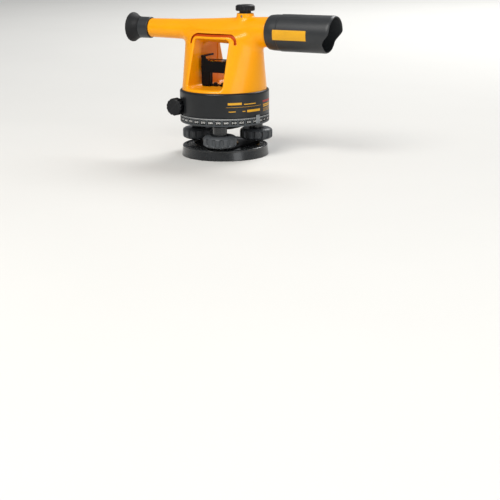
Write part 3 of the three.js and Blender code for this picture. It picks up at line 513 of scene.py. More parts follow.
bush_top = high("tripod_thread_bush")[2]
turn("threaded_bush", [
    (7.4, 1.2), (8.3, 0.25), (BUSH_R, 0.25), (BUSH_R, bush_top - 1.2), (17, bush_top - 1.2),
    (17, bush_top), (8.3, bush_top), (7.4, bush_top - 0.9), (7.4, 1.2),
], "z", PILLAR, "tripod_thread_bush", BRASS, radius=0.3, longest=0.3,
    shape=lambda r, h, a: (np.where(r < 7.8, r + 0.5 * helix(h, a, INCH / 11), r), h))


# ---- levelling screws ----
def threaded(root, crest, pitch):
    """A shape for turn() that cuts a thread where the radius is the crest's."""
    def shape(r, h, a):
        flank = np.clip(helix(h, a, pitch) * 1.6 - 0.3, 0, 1)
        return np.where(r > crest - 0.05, root + (crest - root) * flank, r), h
    return shape


KNOB_R = half("front_levelling_knob")[0] + 0.1
KNOB_LOW, KNOB_TOP = low("front_levelling_knob")[2], high("front_levelling_knob")[2]
KNOB_SLOTS = 13
SCREW_LOW, SCREW_TOP = (f("front_levelling_screw")[2] for f in (low, high))
BOSS_LOW = low("tribrach")[2]


def slotted(phase):
    """A shape for turn() that sinks upright slots with rounded ends into a levelling knob."""
    def shape(r, h, angle):
        pitch = 2 * pi / KNOB_SLOTS
        u = ((angle - phase) % pitch - pitch / 2) * KNOB_R
        edge = rect(u, h - (KNOB_LOW + KNOB_TOP) / 2, 2.5, (KNOB_TOP - KNOB_LOW) / 2 - 2.6, 2.4)
        depth = 1.9 * np.clip(0.5 - edge / 1.2, 0, 1)
        return np.where(r > KNOB_R - 3, r - depth, r), h
    return shape


for side in SIDES:
    at = (*SCREW[side], 0)
    polar = np.linspace(-pi / 2, pi / 2 - 0.46, 22)
    ball = [(BALL_R * cos(t), BALL_Z + BALL_R * sin(t), 0) for t in polar]
    ball[0] = (0, BALL_Z - BALL_R)
    stud_top = high(f"{side}_ball_foot")[2]
    turn(f"{side}_ball_and_stud", [*ball, (2, stud_top - 0.4, 0), (1.7, stud_top, 0),
                                   (0, stud_top)], "z", at, f"{side}_ball_foot", STEEL, steps=64)
    turn(f"{side}_screw_shank", [
        (2.3, SCREW_LOW + 7.6), (2.3, SCREW_LOW), (3.4, SCREW_LOW), (4, SCREW_LOW + 0.6),
        (4, SCREW_TOP - 0.6), (3.4, SCREW_TOP), (0, SCREW_TOP),
    ], "z", at, f"{side}_levelling_screw", BRASS, steps=48, radius=0.1, longest=0.16,
        shape=threaded(3.5, 4, 1))
    turn(f"{side}_ribbed_knob", [
        (4.3, KNOB_LOW), (16.4, KNOB_LOW, 1), (18.2, KNOB_LOW + 0.4, 1.2),
        (KNOB_R, KNOB_LOW + 2.4, 2), (KNOB_R, KNOB_TOP - 2.6, 2), (18.4, KNOB_TOP - 0.4, 1.4),
        (17, KNOB_TOP, 0.8), (12.2, KNOB_TOP), (9.9, KNOB_TOP - 0.7, 0.5), (9.9, 22.4, 0.3),
        (4.3, 22.4, 0.3), (4.3, KNOB_LOW),
    ], "z", at, f"{side}_levelling_knob", KNOB_GREY, steps=KNOB_SLOTS * 28, radius=0.5,
        longest=0.5, shape=slotted(SCREW_ANGLE[side]))
    turn(f"{side}_threaded_bush", [
        (4.3, BOSS_LOW + 0.8), (4.8, BOSS_LOW + 0.3), (6.4, BOSS_LOW + 0.3), (6.4, 41.6),
        (4.8, 41.6), (4.3, 41.1), (4.3, BOSS_LOW + 0.8),
    ], "z", at, f"{side}_thread_bush", BRASS, steps=64, radius=0.15, longest=0.5)


# ---- tribrach ----
TRI_TOP = 43
HUB_TOP = high("tribrach")[2]
HUB_R = 21.5


def tribrach(x, y, z):
    r = np.hypot(x, y)
    hub = drum(r, z, HUB_R + 2 - 0.6 * np.clip(38.5 - z, 0, 4), 35.5, TRI_TOP, 1.2)
    whole = union(hub, drum(r, z, HUB_R, 38, HUB_TOP, 1), 1.5)
    for side in SIDES:
        along, across = seat_frame(x, y, side)
        width = 6.4 + 0.0035 * along ** 2
        arm = rect(across / np.maximum(width / 6.4, 1), z - 40, 6.4, 3, 1.6)
        arm = np.maximum(arm, np.maximum(along, -along - SCREW_CIRCLE + 8))
        whole = union(whole, arm, 3)
        boss = drum(np.hypot(along, across), z, 9 - 0.02 * (43 - z), BOSS_LOW, TRI_TOP, 1.4)
        whole = union(whole, boss, 2)
    for side in SIDES:
        along, across = seat_frame(x, y, side)
        whole = carve(whole, np.maximum(np.hypot(along, across) - 6.7, z - 42.2), 0.4)
    return carve(whole, r - BUSH_R - GAP, 0.4)


moulded("tribrach_casting", tribrach, 0.55, "tribrach", GLOSS)
sleeve("bearing_bush", "z", PILLAR, "spindle_bush", BRASS, 8.3, BUSH_R, low("spindle_bush")[2],
       high("spindle_bush")[2], longest=1)
cap_top = high("hub_cap")[2]
turn("hub_dust_cap", [
    (0, cap_top - 1.6), (14, cap_top - 1.6, 0.8), (15.4, cap_top - 0.6, 0.4), (15.4, cap_top),
    (0, cap_top),
], "z", PILLAR, "hub_cap", SATIN, radius=0.3, longest=1)


# ---- horizontal circle ----
CIRCLE_R = high("horizontal_circle")[0]
CIRCLE_LOW, CIRCLE_TOP = low("horizontal_circle")[2], high("horizontal_circle")[2]
WEB_LOW, WEB_TOP = 45, 49
turn("graduated_ring", [
    (HUB_R + GAP, WEB_LOW), (CIRCLE_R - 4, WEB_LOW, 0.6), (CIRCLE_R - 4, CIRCLE_LOW, 0.5),
    (CIRCLE_R - 0.7, CIRCLE_LOW, 0.5), (CIRCLE_R - 0.1, CIRCLE_LOW + 0.8, 0.3),
    (CIRCLE_R - 0.1, CIRCLE_TOP - 0.8, 0.4), (CIRCLE_R - 0.7, CIRCLE_TOP, 0.4),
    (CIRCLE_R - 5, CIRCLE_TOP, 0.3), (CIRCLE_R - 5, WEB_TOP, 0.5), (HUB_R + GAP, WEB_TOP),
    (HUB_R + GAP, WEB_LOW),
], "z", PILLAR, "horizontal_circle", CIRCLE_GREY, steps=360, radius=0.3, longest=1)


def joined(parts):
    """Several (verts, faces) parts as one."""
    verts, faces = [], []
    for points, polygons in parts:
        faces += [[k + len(verts) for k in polygon] for polygon in polygons]
        verts += points
    return verts, faces


def band(x, width, centre, radius, angles):
    """A strip of a cylinder about an axis along X."""
    verts = [(x + width * side, centre[1] + radius * cos(t), centre[2] + radius * sin(t))
             for t in angles for side in (0, 1)]
    return verts, [(2 * k, 2 * k + 1, 2 * k + 3, 2 * k + 2) for k in range(len(angles) - 1)]


def patch(u, v, half_u, half_v, bend=1):
    """A flat rectangle that is cut into strips so that it can follow a curve."""
    flat = []
    for k in range(bend + 1):
        along = u - half_u + 2 * half_u * k / bend
        flat += [(along, v - half_v), (along, v + half_v)]
    return flat, [(2 * k, 2 * k + 2, 2 * k + 3, 2 * k + 1) for k in range(bend)]


def lettering(text, height, widen):
    """Digits as flat verts and faces about their middle, from Blender's own font, made wider."""
    curve = bpy.data.curves.new("digits", "FONT")
    curve.body, curve.size, curve.align_x, curve.align_y = text, height, "CENTER", "CENTER"
    holder = bpy.data.objects.new("digits", curve)
    mesh = bpy.data.meshes.new_from_object(holder)
    flat = [(v.co.x * widen, v.co.y) for v in mesh.vertices]
    polygons = [tuple(p.vertices) for p in mesh.polygons]
    bpy.data.objects.remove(holder)
    bpy.data.meshes.remove(mesh)
    return flat, polygons


def moved(part, du, dv):
    return [(u + du, v + dv) for u, v in part[0]], part[1]


def decal(name, parts, radius, lift, node, material):
    """Flat parts, u along the arc and v up in mm, laid on a standing cylinder."""
    flat, faces = joined(parts)
    out = radius + lift
    new_piece(name, [(out * cos(u / radius), out * sin(u / radius), v) for u, v in flat],
              faces, node, material, stands=False)


DEGREE = CIRCLE_R * pi / 180
NUMBER_Z = (CIRCLE_LOW + CIRCLE_TOP) / 2 - 0.3
FACE_R = CIRCLE_R - 0.1
numbers, boxes, ticks = [], [], []
for degree in range(360):
    u = degree * DEGREE
    length = 1.9 if degree % 10 == 0 else 1.6 if degree % 5 == 0 else 1.1
    ticks.append(patch(u, CIRCLE_TOP - 1.1 - length / 2, 0.045, length / 2))
    if degree % 10 == 0:
        boxes.append(patch(u, NUMBER_Z, 3.8, 2.4, 6))
        numbers.append(moved(lettering(str(degree), 3.2, 1.3), u, NUMBER_Z))
top_line = [patch(0, CIRCLE_TOP - 1, pi * FACE_R, 0.12, 360)]
for name, parts, lift, material in (
        ("number_fields", boxes, 0.04, BLACK_PRINT), ("numbers", numbers, 0.08, WHITE_PRINT),
        ("ticks", ticks, 0.06, WHITE_PRINT), ("top_line", top_line, 0.05, WHITE_PRINT)):
    decal("circle_" + name, parts, FACE_R, lift, "horizontal_circle", material)


# ---- slow-motion wheel and worm ----
WHEEL_R = high("worm_wheel")[0]
WHEEL_TEETH = 120


def wheel_teeth(r, h, a):
    wave = np.abs((a * WHEEL_TEETH / (2 * pi)) % 1 * 2 - 1)
    hollow = 0.5 * (1 - np.clip(np.abs(h) / 3, 0, 1) ** 2)
    rim = np.clip(r - (WHEEL_R - 3), 0, 3) / 3
    return r - rim * (1.4 * np.clip(wave * 1.7 - 0.35, 0, 1) + hollow - 0.6), h


turn("worm_wheel_teeth", [
    (13.3, -6), (18, -6, 1), (34, -1.7, 1), (34, -3.1), (WHEEL_R, -3.1), (WHEEL_R, 3.1),
    (34, 3.1), (34, 1.5, 1), (13.3, 4.1), (13.3, -6),
], "z", (0, 0, WORM_Z), "worm_wheel", BRASS, steps=WHEEL_TEETH * 8, radius=0.3, longest=1.2,
    shape=wheel_teeth)
WORM_PITCH = 2 * pi * (WHEEL_R - 0.2) / WHEEL_TEETH
shaft_low, shaft_high = low("worm_shaft")[1], high("worm_shaft")[1]
turn("worm_and_shaft", [
    (0, shaft_low), (2.5, shaft_low), (2.5, -12), (3.1, -11.4, 0.2), (4, -11), (4, 11),
    (3.1, 11.4, 0.2), (2.5, 12), (2.5, shaft_high), (0, shaft_high),
], "y", (WORM_X, 0, WORM_Z), "worm_shaft", STEEL, steps=48, radius=0.2, longest=0.25,
    shape=threaded(3.0, 4, WORM_PITCH))


# ---- base housing ----
HOUSING_R = high("base_housing")[0]
HOUSING_LOW, LIP_Z = low("base_housing")[2], high("base_housing")[2]
LIP_ROUND = 2.6
SPINDLE_LOW, DECK_Z = low("spindle")[2], high("spindle")[2]
KNOB_Y = high("tangent_knob")[1]
TANGENT_R = half("tangent_knob")[0]
POCKET_R = TANGENT_R + 1.1
POCKET_WALL = 1.8
SKIRT_R = 54
DECK_POINTS = [middle(f"deck_screw_{k}")[:2] for k in (1, 2, 3)]


def base_housing(x, y, z):
    r = np.hypot(x, y)
    whole = drum(r, z, HOUSING_R, HOUSING_LOW, LIP_Z, 0)
    out, up = r - HOUSING_R + LIP_ROUND, z - LIP_Z + LIP_ROUND
    shoulder = np.hypot(np.maximum(out, 0), np.maximum(up, 0)) - LIP_ROUND
    whole = np.maximum(whole, np.where((out > 0) & (up > 0), shoulder, -9))
    inside = drum(r, z, HOUSING_R - 3, HOUSING_LOW - 5, DECK_Z - 3, 1)
    nest = np.hypot(x - WORM_X, z - WORM_Z)
    wall = np.maximum(nest - POCKET_R - POCKET_WALL, y - KNOB_Y - 3)
    whole = carve(whole, carve(inside, wall, 0.6), 0.5)
    whole = carve(whole, np.maximum(r - SKIRT_R - GAP, DECK_Z - z), 0.3)
    pocket = np.maximum(nest - POCKET_R, y - KNOB_Y - 0.6)
    whole = carve(whole, pocket, 1.4)
    whole = carve(whole, np.maximum(nest - 3.2, y), 0.3)
    for px, py in DECK_POINTS:
        whole = carve(whole, np.hypot(x - px, y - py) - 2.4, 0.3)
    return carve(whole, r - 8.3, 0.4)


def base_cover(x, y, z):
    ring = drum(np.hypot(x, y), z, HOUSING_R - 3.3, HOUSING_LOW + 0.4, HOUSING_LOW + 2, 0.3)
    ring = carve(ring, np.hypot(x, y) - 14, 0.3)
    nest = np.hypot(x - WORM_X, z - WORM_Z) - POCKET_R - POCKET_WALL - GAP
    return carve(ring, np.maximum(nest, y - KNOB_Y - 3.4), 0.3)


moulded("housing_shell", base_housing, 0.8, "base_housing", SATIN)
cover_low = low("base_cover")[2]
moulded("underside_cover", base_cover, [
    *around("base_cover", 0.9)[:2], spaced((cover_low - 0.7, cover_low + 2.4, 0.31))
], "base_cover", ALUMINIUM)
turn("spindle_turned", [
    (0, SPINDLE_LOW), (7, SPINDLE_LOW), (8, SPINDLE_LOW + 1), (8, DECK_Z - 8.4),
    (20, DECK_Z - 7.4), (20, DECK_Z - 3.3), (8, DECK_Z - 3.3), (8, DECK_Z), (0, DECK_Z),
], "z", PILLAR, "spindle", STEEL, radius=0.25, longest=1)


def hexed(size, depth_from, depth_to):
    """A shape for turn() that makes the wall of a socket six-sided between two heights."""
    def shape(r, h, a):
        flat = size / np.cos((a + pi / 6) % (pi / 3) - pi / 6)
        inside = (h >= depth_from) & (h <= depth_to) & (r < size * 1.02) & (r > size * 0.6)
        return np.where(inside, flat, r), h
    return shape


for k, (px, py) in enumerate(DECK_POINTS, 1):
    head, top = low(f"deck_screw_{k}")[2], high(f"deck_screw_{k}")[2]
    turn(f"deck_cap_screw_{k}", [
        (0, head + 2, 0), (1.4, head + 2, 0), (1.4, head, 0), (3.6, head), (3.6, head + 3),
        (2, head + 3), (2, top - 0.5), (1.6, top), (0, top),
    ], "z", (px, py, 0), f"deck_screw_{k}", STEEL, steps=48, radius=0.3, longest=0.25,
        shape=lambda r, h, a, head=head: (
            np.where(h > head + 4, threaded(1.6, 2, 0.7)(r, h, a)[0],
                     hexed(1.4, head, head + 2)(r, h, a)[0]), h))


def worm_bracket(x, y, z):
    top = high("worm_bracket")[2]
    near, far = low("worm_bracket"), high("worm_bracket")
    whole = box(x, y, z, (near[0], near[1], top - 2.6), far, 0.6)
    for start in (near[1], far[1] - 4):
        foot = (near[0], start, near[2])
        whole = union(whole, box(x, y, z, foot, (far[0], start + 4, top), 0.8), 1)
    return carve(whole, np.hypot(x - WORM_X, z - WORM_Z) - 2.8, 0.3)


moulded("worm_bearing_bracket", worm_bracket, 0.4, "worm_bracket",
        ALUMINIUM)

KNOB_FACE = low("tangent_knob")[1]
turn("slow_motion_knob", [
    (0, KNOB_FACE + 0.4, 0.3), (7.4, KNOB_FACE + 0.4, 0.6), (8.4, KNOB_FACE, 0.5),
    (9.4, KNOB_FACE + 0.1, 0.6), (TANGENT_R, KNOB_FACE + 1.8, 1.2), (TANGENT_R, KNOB_Y - 4.8, 0.6),
    (TANGENT_R - 2.1, KNOB_Y, 0.5), (2.8, KNOB_Y, 0.3), (2.8, KNOB_FACE + 2.7, 0.1),
    (0, KNOB_FACE + 2.7),
], "y", (WORM_X, 0, WORM_Z), "tangent_knob", KNOB_BLACK, steps=14 * 22, radius=0.5, longest=0.6,
    shape=ribbed(TANGENT_R, 1.5, 14, 0.5))

# The index plate hangs from the housing over the circle. Its angle comes from its CAD node.
plate_mid = middle("index_plate")
INDEX_ANGLE = atan2(plate_mid[1], plate_mid[0])
INDEX_R = CIRCLE_R + 0.95


def index_plate(x, y, z):
    arc = np.arctan2(y, x) - INDEX_ANGLE
    u, w = arc * INDEX_R, np.hypot(x, y) - INDEX_R
    face = rect(u, z - plate_mid[2], 3.15, 5.3, 0.8)
    plate = meet(face, np.abs(w) - 0.5, 0.35)
    rivet = np.maximum(np.hypot(u, z - plate_mid[2] - 3.4) - 0.8, 0.1 - w)
    return carve(plate, rivet, 0.1)


moulded("index_plate_stamped", index_plate, around("index_plate", 0.2, 0.6), "index_plate",
        INDEX_GREY)
index_u = INDEX_ANGLE * INDEX_R
marks = [patch(index_u, plate_mid[2] - 3.3, 0.16, 1.9)]
marks += [patch(index_u + k * 0.9, plate_mid[2] - 4.2, 0.07, 0.9) for k in (-2, -1, 1, 2)]
decal("index_lines", marks, INDEX_R, 0.54, "index_plate", BLACK_PRINT)


def label(name, bars, material):
    """Plain bars round the housing. A bar is its first and last angle and its low and high z."""
    parts = []
    for start, end, bottom, top in bars:
        u = radians((start + end) / 2) * HOUSING_R
        half_u = radians(end - start) / 2 * HOUSING_R
        parts.append(patch(u, (bottom + top) / 2, half_u, (top - bottom) / 2, 12))
    decal(name, parts, HOUSING_R, 0.05, "base_housing", material)


# Plain bars stand where the housing carries printed words.
label("label_bars", [(-57, -39, 70.8, 73.6), (-36, -18, 70.6, 71.8), (-59, -8, 67.8, 68.1),
                     (-56, -47, 62.0, 63.0), (-38, -34, 62.0, 63.0), (-31.5, -10, 61.0, 64.0),
                     (-3, 22, 67.0, 68.4), (-3, 22, 64.9, 66.2)], YELLOW_PRINT)
label("label_bar_red", [(-4, 22, 70.6, 73.2)], RED_PRINT)
label("label_fine_bars", [(-3, 22, z, z + 0.3) for z in (62.8, 61.7, 60.6, 59.5)], YELLOW_PRINT)


# ---- body casting and telescope ----
TUBE_BACK = low("body_casting")[0]
TUBE_FRONT = 66.2
COLLAR_TOP = high("body_casting")[2]
SPIGOT_END = high("body_casting")[0]
SPAN_X = np.linspace(TUBE_BACK - 40, SPIGOT_END + 40, 800)
CONE = np.interp(SPAN_X, [TUBE_BACK, -59, -14, 16, 57, 66], [12, 12.7, 14.8, 16.6, 18.5, 18.7])
BLUR = np.exp(-np.linspace(-2.4, 2.4, 61) ** 2)
CONE = np.convolve(np.pad(CONE, 30, "edge"), BLUR / BLUR.sum(), "valid")
SKIRT_LOW = low("body_casting")[2]
SHOULDER_Z, SHOULDER_H = 147, 11.5


def pillar_form(x, y, z):
    """The outer form below the telescope: a round skirt that rises to an oval shoulder."""
    rise = np.clip((z - LIP_Z) / (SHOULDER_Z - LIP_Z), 0, 1)
    bend = np.clip(z - SHOULDER_Z, 0, SHOULDER_H) / SHOULDER_H
    drawn_in = 1 - np.sqrt(np.clip(1 - bend ** 2, 0, 1))
    half_x = SKIRT_R - rise - 11 * drawn_in
    half_y = SKIRT_R - 22 * rise - 15 * drawn_in
    k = np.sqrt((x / half_x) ** 2 + (y / half_y) ** 2)
    g = np.sqrt((x / half_x ** 2) ** 2 + (y / half_y ** 2) ** 2) + 1e-9
    side = k * (k - 1) / g
    return meet(meet(side, z - SHOULDER_Z - SHOULDER_H, 5), SKIRT_LOW - z, 0.3)


def arch(x, z, wide_low, wide_high, bottom, top, r):
    """The distance to an upright opening that narrows from its foot to its top."""
    wide = wide_low + (wide_high - wide_low) * np.clip((z - bottom) / (top - bottom), 0, 1)
    return rect(x, z - (bottom + top) / 2, wide, (top - bottom) / 2, r)


def tube_radius(x):
    return np.interp(x, SPAN_X, CONE)


WINDOW_Z, WINDOW_TOP = 88.3, 148.4
WINDOW_LOW, WINDOW_HIGH = 26.1, 24.6
WINDOW_SKEW = radians(-5.2)
RECESS_FRONT, RECESS_BACK = -11.3, 23
RECESS_MIDDLE, RECESS_HALF_Z = (WINDOW_Z + WINDOW_TOP) / 2 - 1, 28.95
RECESS_TAPER = 0.076
GROOVE_MIDDLE, GROOVE_END, GROOVE_DEPTH = -1.2, 142.4, 3


def groove(x, z, form):
    """The band over the window, open towards the outer form and as deep as GROOVE_DEPTH."""
    u = x - GROOVE_MIDDLE
    outer, inner = arch(u, z, 35.4, 31.7, 128, 155.5, 9), arch(u, z, 33.4, 29.6, 110, 151.9, 7)
    band = meet(carve(outer, inner, 0.3), GROOVE_END - z, 0.8)
    return meet(band, -form - GROOVE_DEPTH, 0.8)


def body_casting(x, y, z):
    form = pillar_form(x, y, z)
    across = x * cos(WINDOW_SKEW) + y * sin(WINDOW_SKEW)
    window = arch(across, z, WINDOW_LOW, WINDOW_HIGH, WINDOW_Z, WINDOW_TOP, 4.5)
    side = np.abs(across) - WINDOW_LOW - RECESS_TAPER * (RECESS_BACK - y)
    recess = meet(side, np.abs(z - RECESS_MIDDLE) - RECESS_HALF_Z, 0.8)
    recess = meet(recess, np.maximum(RECESS_FRONT - y, y - RECESS_BACK - 2), 0.8)
    whole = carve(form, window, 3.6)
    whole = carve(whole, groove(x, z, form), 0.5)
    whole = carve(whole, recess, 0.6)
    radial = np.hypot(y, z - AXIS_Z)
    tube = meet(radial - tube_radius(x), np.abs(x - (TUBE_BACK + TUBE_FRONT) / 2)
                - (TUBE_FRONT - TUBE_BACK) / 2, 0.9)
    whole = union(whole, tube, 9)
    whole = union(whole, drum(radial, x, 15.5, 50, SPIGOT_END, 0.6), 0)
    reach = np.hypot(x - FOCUS_X, y)
    collar = drum(reach, z, 10.7 + 0.12 * np.clip(175.5 - z, 0, 12), AXIS_Z, COLLAR_TOP, 1)
    whole = union(whole, collar, 4)
    bore = np.maximum(radial - 9.3 - 3.7 * np.clip((x - 58) / 4, 0, 1), TUBE_BACK - 9 - x)
    whole = carve(whole, bore, 0.4)
    whole = carve(whole, np.maximum(reach - 6.3, 171 - z), 0.5)
    whole = carve(whole, np.maximum(reach - 5.2, AXIS_Z - z), 0)
    whole = carve(whole, box(x, y, z, (-1, 2.9, 160), (63, 7.9, 170), 0.2))
    hole = np.maximum(np.hypot(x - FOCUS_X, z - 176.6) - 1.5, y)
    whole = carve(whole, hole, 0.5)
    for px, py in DECK_POINTS:
        whole = carve(whole, np.maximum(np.hypot(x - px, y - py) - 2.3, z - DECK_Z - 7))
    return whole


casting = moulded("yellow_casting", body_casting, [
    spaced((TUBE_BACK - 1.5, -62, 1.9), (-62, 68, 0.95), (68, SPIGOT_END + 2, 1.6)),
    spaced((-56, -38, 0.95), (-38, -22, 0.6), (-22, 22, 0.95), (22, 38, 0.6), (38, 56, 0.95)),
    spaced((77.5, 138, 0.95), (138, 158, 0.6), (158, 182, 0.95)),
], "body_casting", YELLOW)


def paint_groove():
    """Gives the faces inside the groove a darker orange, which is painted shade for the groove's shadow."""
    casting.data.materials.append(GROOVE_SHADE)
    polygons = casting.data.polygons
    centres = np.empty(3 * len(polygons))
    polygons.foreach_get("center", centres)
    x, y, z = centres.reshape(-1, 3).T / MM
    form = pillar_form(x, y, z)
    sunk = (groove(x, z, form) < 0.35) & (form < -0.7) & (np.abs(y) > 15)
    polygons.foreach_set("material_index", sunk.astype(np.int32))


paint_groove()


# ---- focusing ----
focus_low, focus_top = low("focus_knob")[2], high("focus_knob")[2]
FOCUS_R = half("focus_knob")[0]
focus_at = (FOCUS_X, 0, 0)
turn("focus_knob_fluted", [
    (3.3, focus_low), (7.4, focus_low, 0.3), (7.4, focus_top - 7.5, 0.3),
    (FOCUS_R - 1, focus_top - 7.5, 0.4), (FOCUS_R, focus_top - 6.6, 0.4),
    (FOCUS_R, focus_top - 1.9, 0.9), (FOCUS_R - 2.2, focus_top - 0.1, 1.2),
    (8.4, focus_top, 0.4), (7.9, focus_top - 0.5, 0.3), (0, focus_top - 0.5),
], "z", focus_at, "focus_knob", KNOB_BLACK, steps=14 * 22, radius=0.4, longest=0.6,
    shape=ribbed(FOCUS_R, 1.0, 14, 0.6))
sleeve("focus_shaft_bush", "z", focus_at, "focus_bush", BRASS, 3.3, 6, low("focus_bush")[2],
       high("focus_bush")[2], steps=48, radius=0.2, longest=0.5)
screw_low, screw_high = low("focus_set_screw")[1], high("focus_set_screw")[1]
turn("focus_grub_screw", [
    (0, screw_low + 1.2, 0), (0.6, screw_low + 1.2, 0), (0.6, screw_low, 0.05),
    (1.2, screw_low, 0.1), (1.2, screw_high, 0.1), (0, screw_high),
], "y", (FOCUS_X, 0, middle("focus_set_screw")[2]),
    "focus_set_screw", STEEL, steps=48, radius=0.1, longest=0.2,
    shape=hexed(0.6, screw_low, screw_low + 1.2))


def lens(name, node, back, front):
    """A coated lens whose faces bulge by back and front, negative where a face is hollow."""
    radius = high(node)[1]
    a, b = low(node)[0], high(node)[0]
    edge_a, edge_b = a + max(back, 0), b - max(front, 0)
    steps = np.linspace(0, 1, 14)
    left = [(radius * t, edge_a - back * (1 - t * t), 0) for t in steps]
    right = [(radius * t, edge_b + front * (1 - t * t), 0) for t in steps[::-1]]
    turn(name, [*left, *right], "x", TELESCOPE, node, COATED)


lens("objective_crown", "objective_crown_lens", 1.4, 1.2)
lens("objective_flint", "objective_flint_lens", 0, -1)
lens("focusing_element", "focusing_lens", -0.8, -0.8)
lens("ocular_eye_lens", "eye_lens", 1, 0.4)
lens("ocular_field_lens", "field_lens", 0.4, 1)


# ---- objective and sunshade ----
turn("objective_cell_turned", [
    (15.8, 70), (19, 70), (19, 76), (20, 76), (20, 92), (16.9, 92), (16.9, 79.6), (15, 79.6),
    (15, 78.4), (15.8, 78.4), (15.8, 70),
], "x", TELESCOPE, "objective_cell", ANODISED, radius=0.25, longest=0.8)
turn("lens_retaining_ring", [(15, 88), (16.6, 88), (16.6, 91), (15.6, 91), (15, 90.4), (15, 88)],
     "x", TELESCOPE, "objective_retaining_ring", ANODISED, radius=0.15, longest=0.4,
     shape=threaded(16.3, 16.6, 0.75))

SHADE_START, SHADE_END = low("sunshade")[0], high("sunshade")[0]
SHADE_R = half("sunshade")[1]
SHADE_BEND = 112
MOUTH_LOW, MOUTH_HIGH = -12.2, 5


def mouth(height):
    """Where the sunshade ends, by the height above its axis: long above and short below."""
    rise = np.clip((height - MOUTH_LOW) / (MOUTH_HIGH - MOUTH_LOW), 0, 1)
    curve = rise * rise * (3 - 2 * rise)
    return SHADE_END - 10.2 + 9.5 * curve + 0.7 * np.clip((height - MOUTH_HIGH) / 15, 0, 1)


def shade_form(r, h, a):
    """Trims the mouth, flattens narrow facets along the top and raises a small sighting nub."""
    past = np.clip((h - SHADE_BEND) / (SHADE_END - SHADE_BEND), 0, 1)
    end = mouth(SHADE_R * np.sin(a)) - SHADE_END
    top = np.abs((a - pi / 2 + pi) % (2 * pi) - pi)
    outer = r > 21.4
    ridge = np.abs(np.cos(top * 20)) ** 3
    run = np.clip((h - 84) / 5, 0, 1) * np.clip((117 - h) / 6, 0, 1) * np.clip(0.95 - top, 0, 0.3)
    nub = np.exp(-((h - 121.5) / 1.9) ** 4 - (top * SHADE_R / 1.3) ** 4)
    r = r + np.where(outer, 0.55 * ridge * run - 0.12 + 0.1 * nub, 0)
    return r, h + past * end


turn("sunshade_moulding", [
    (20.3, SHADE_START + 5, 0.2), (18.9, SHADE_START, 0.2), (19.6, SHADE_START, 0.6),
    (21.4, SHADE_START + 1.6, 2.4), (22.2, SHADE_START + 7.6, 3), (22.3, 83.2, 0.2),
    (SHADE_R - 0.2, 83.9, 0.3), (SHADE_R, SHADE_END - 2.6, 2.2), (SHADE_R - 0.9, SHADE_END, 0.8),
    (SHADE_R - 2, SHADE_END, 0.5), (SHADE_R - 2.2, SHADE_END - 2, 0.6), (SHADE_R - 2.2, 94, 0.4),
    (20.3, 93, 0.3), (20.3, SHADE_START + 5, 0.2),
], "x", TELESCOPE, "sunshade", CHARCOAL, steps=240, radius=0.4, longest=1.4, shape=shade_form)

# A plain stripe stands where the sunshade carries printed letters.
stripe_angles = np.radians(np.linspace(166.5, 197.5, 21))
new_piece("sunshade_stripe", *band(80, 45, TELESCOPE, SHADE_R + 0.08, stripe_angles), "sunshade",
          YELLOW_PRINT, stands=False)


# ---- eyepiece ----
NECK_R = half("eyepiece_ring")[1]
ring_back, ring_front = low("eyepiece_ring")[0], high("eyepiece_ring")[0]
turn("eyepiece_collar", [
    (9.4, ring_front), (NECK_R - 0.6, ring_front, 0.5), (NECK_R, ring_front - 0.8, 0.4),
    (NECK_R, ring_back), (9.4, ring_back), (9.4, ring_front),
], "x", TELESCOPE, "eyepiece_ring", CHARCOAL, radius=0.2, longest=0.8)
EYE_R = half("eyecup")[1]
EYE_END = low("eyecup")[0]
cup_front = high("eyecup")[0]
turn("eyecup_rubber", [
    (9.4, cup_front, 0.2), (NECK_R, cup_front, 0.3), (NECK_R + 0.1, -124.6, 2),
    (NECK_R + 1.4, -128.4, 4), (NECK_R + 3.4, -131.8, 3), (EYE_R, -134.6, 1.2),
    (EYE_R - 0.3, EYE_END, 1), (EYE_R - 2.4, EYE_END + 0.4, 0.9), (12.6, -130.8, 3),
    (9.4, -127, 1.5), (9.4, cup_front, 0.2),
], "x", TELESCOPE, "eyecup", RUBBER, steps=160, radius=0.5, longest=0.7)


for name, node, inner, material in (
        ("eyepiece_guide", "eyepiece_sleeve", 8, BRASS),
        ("ocular_barrel", "ocular_tube", 6.6, ANODISED),
        ("reticle_cell", "reticle_ring", 6.4, ANODISED)):
    sleeve(name, "x", TELESCOPE, node, material, inner, high(node)[1], low(node)[0],
           high(node)[0], radius=0.2, longest=0.5)
glass_back, glass_front = low("reticle_glass")[0], high("reticle_glass")[0]
turn("reticle_plate", [(0, glass_back), (6.1, glass_back), (6.1, glass_front), (0, glass_front)],
     "x", TELESCOPE, "reticle_glass", GLASS, radius=0.15, longest=0.5)
HAIR = 0.06
flat, faces = joined([patch(0, 0, 5.8, HAIR), patch(0, 0, HAIR, 5.8),
                      patch(0, 2.1, 1.4, HAIR), patch(0, -2.1, 1.4, HAIR)])
new_piece("reticle_cross", [(glass_back - 0.04, -u, AXIS_Z + v) for u, v in flat], faces,
          "reticle_glass", BLACK_PRINT, stands=False)


# ---- tube vial in its holder ----
FRAME_LOW, FRAME_HIGH = low("vial_frame"), high("vial_frame")
FRAME_FRONT, FRAME_BACK = FRAME_LOW[1], FRAME_HIGH[1]
FRAME_END, FOOT_Z = FRAME_HIGH[0], FRAME_LOW[2]
BAR_Z, BAR_TOP = 106.3, 120.2
POST_INNER = FRAME_END - 11.7
POST_BACK, HOLDER_BACK = FRAME_FRONT + 9, FRAME_FRONT + 18
CHEEK = 3


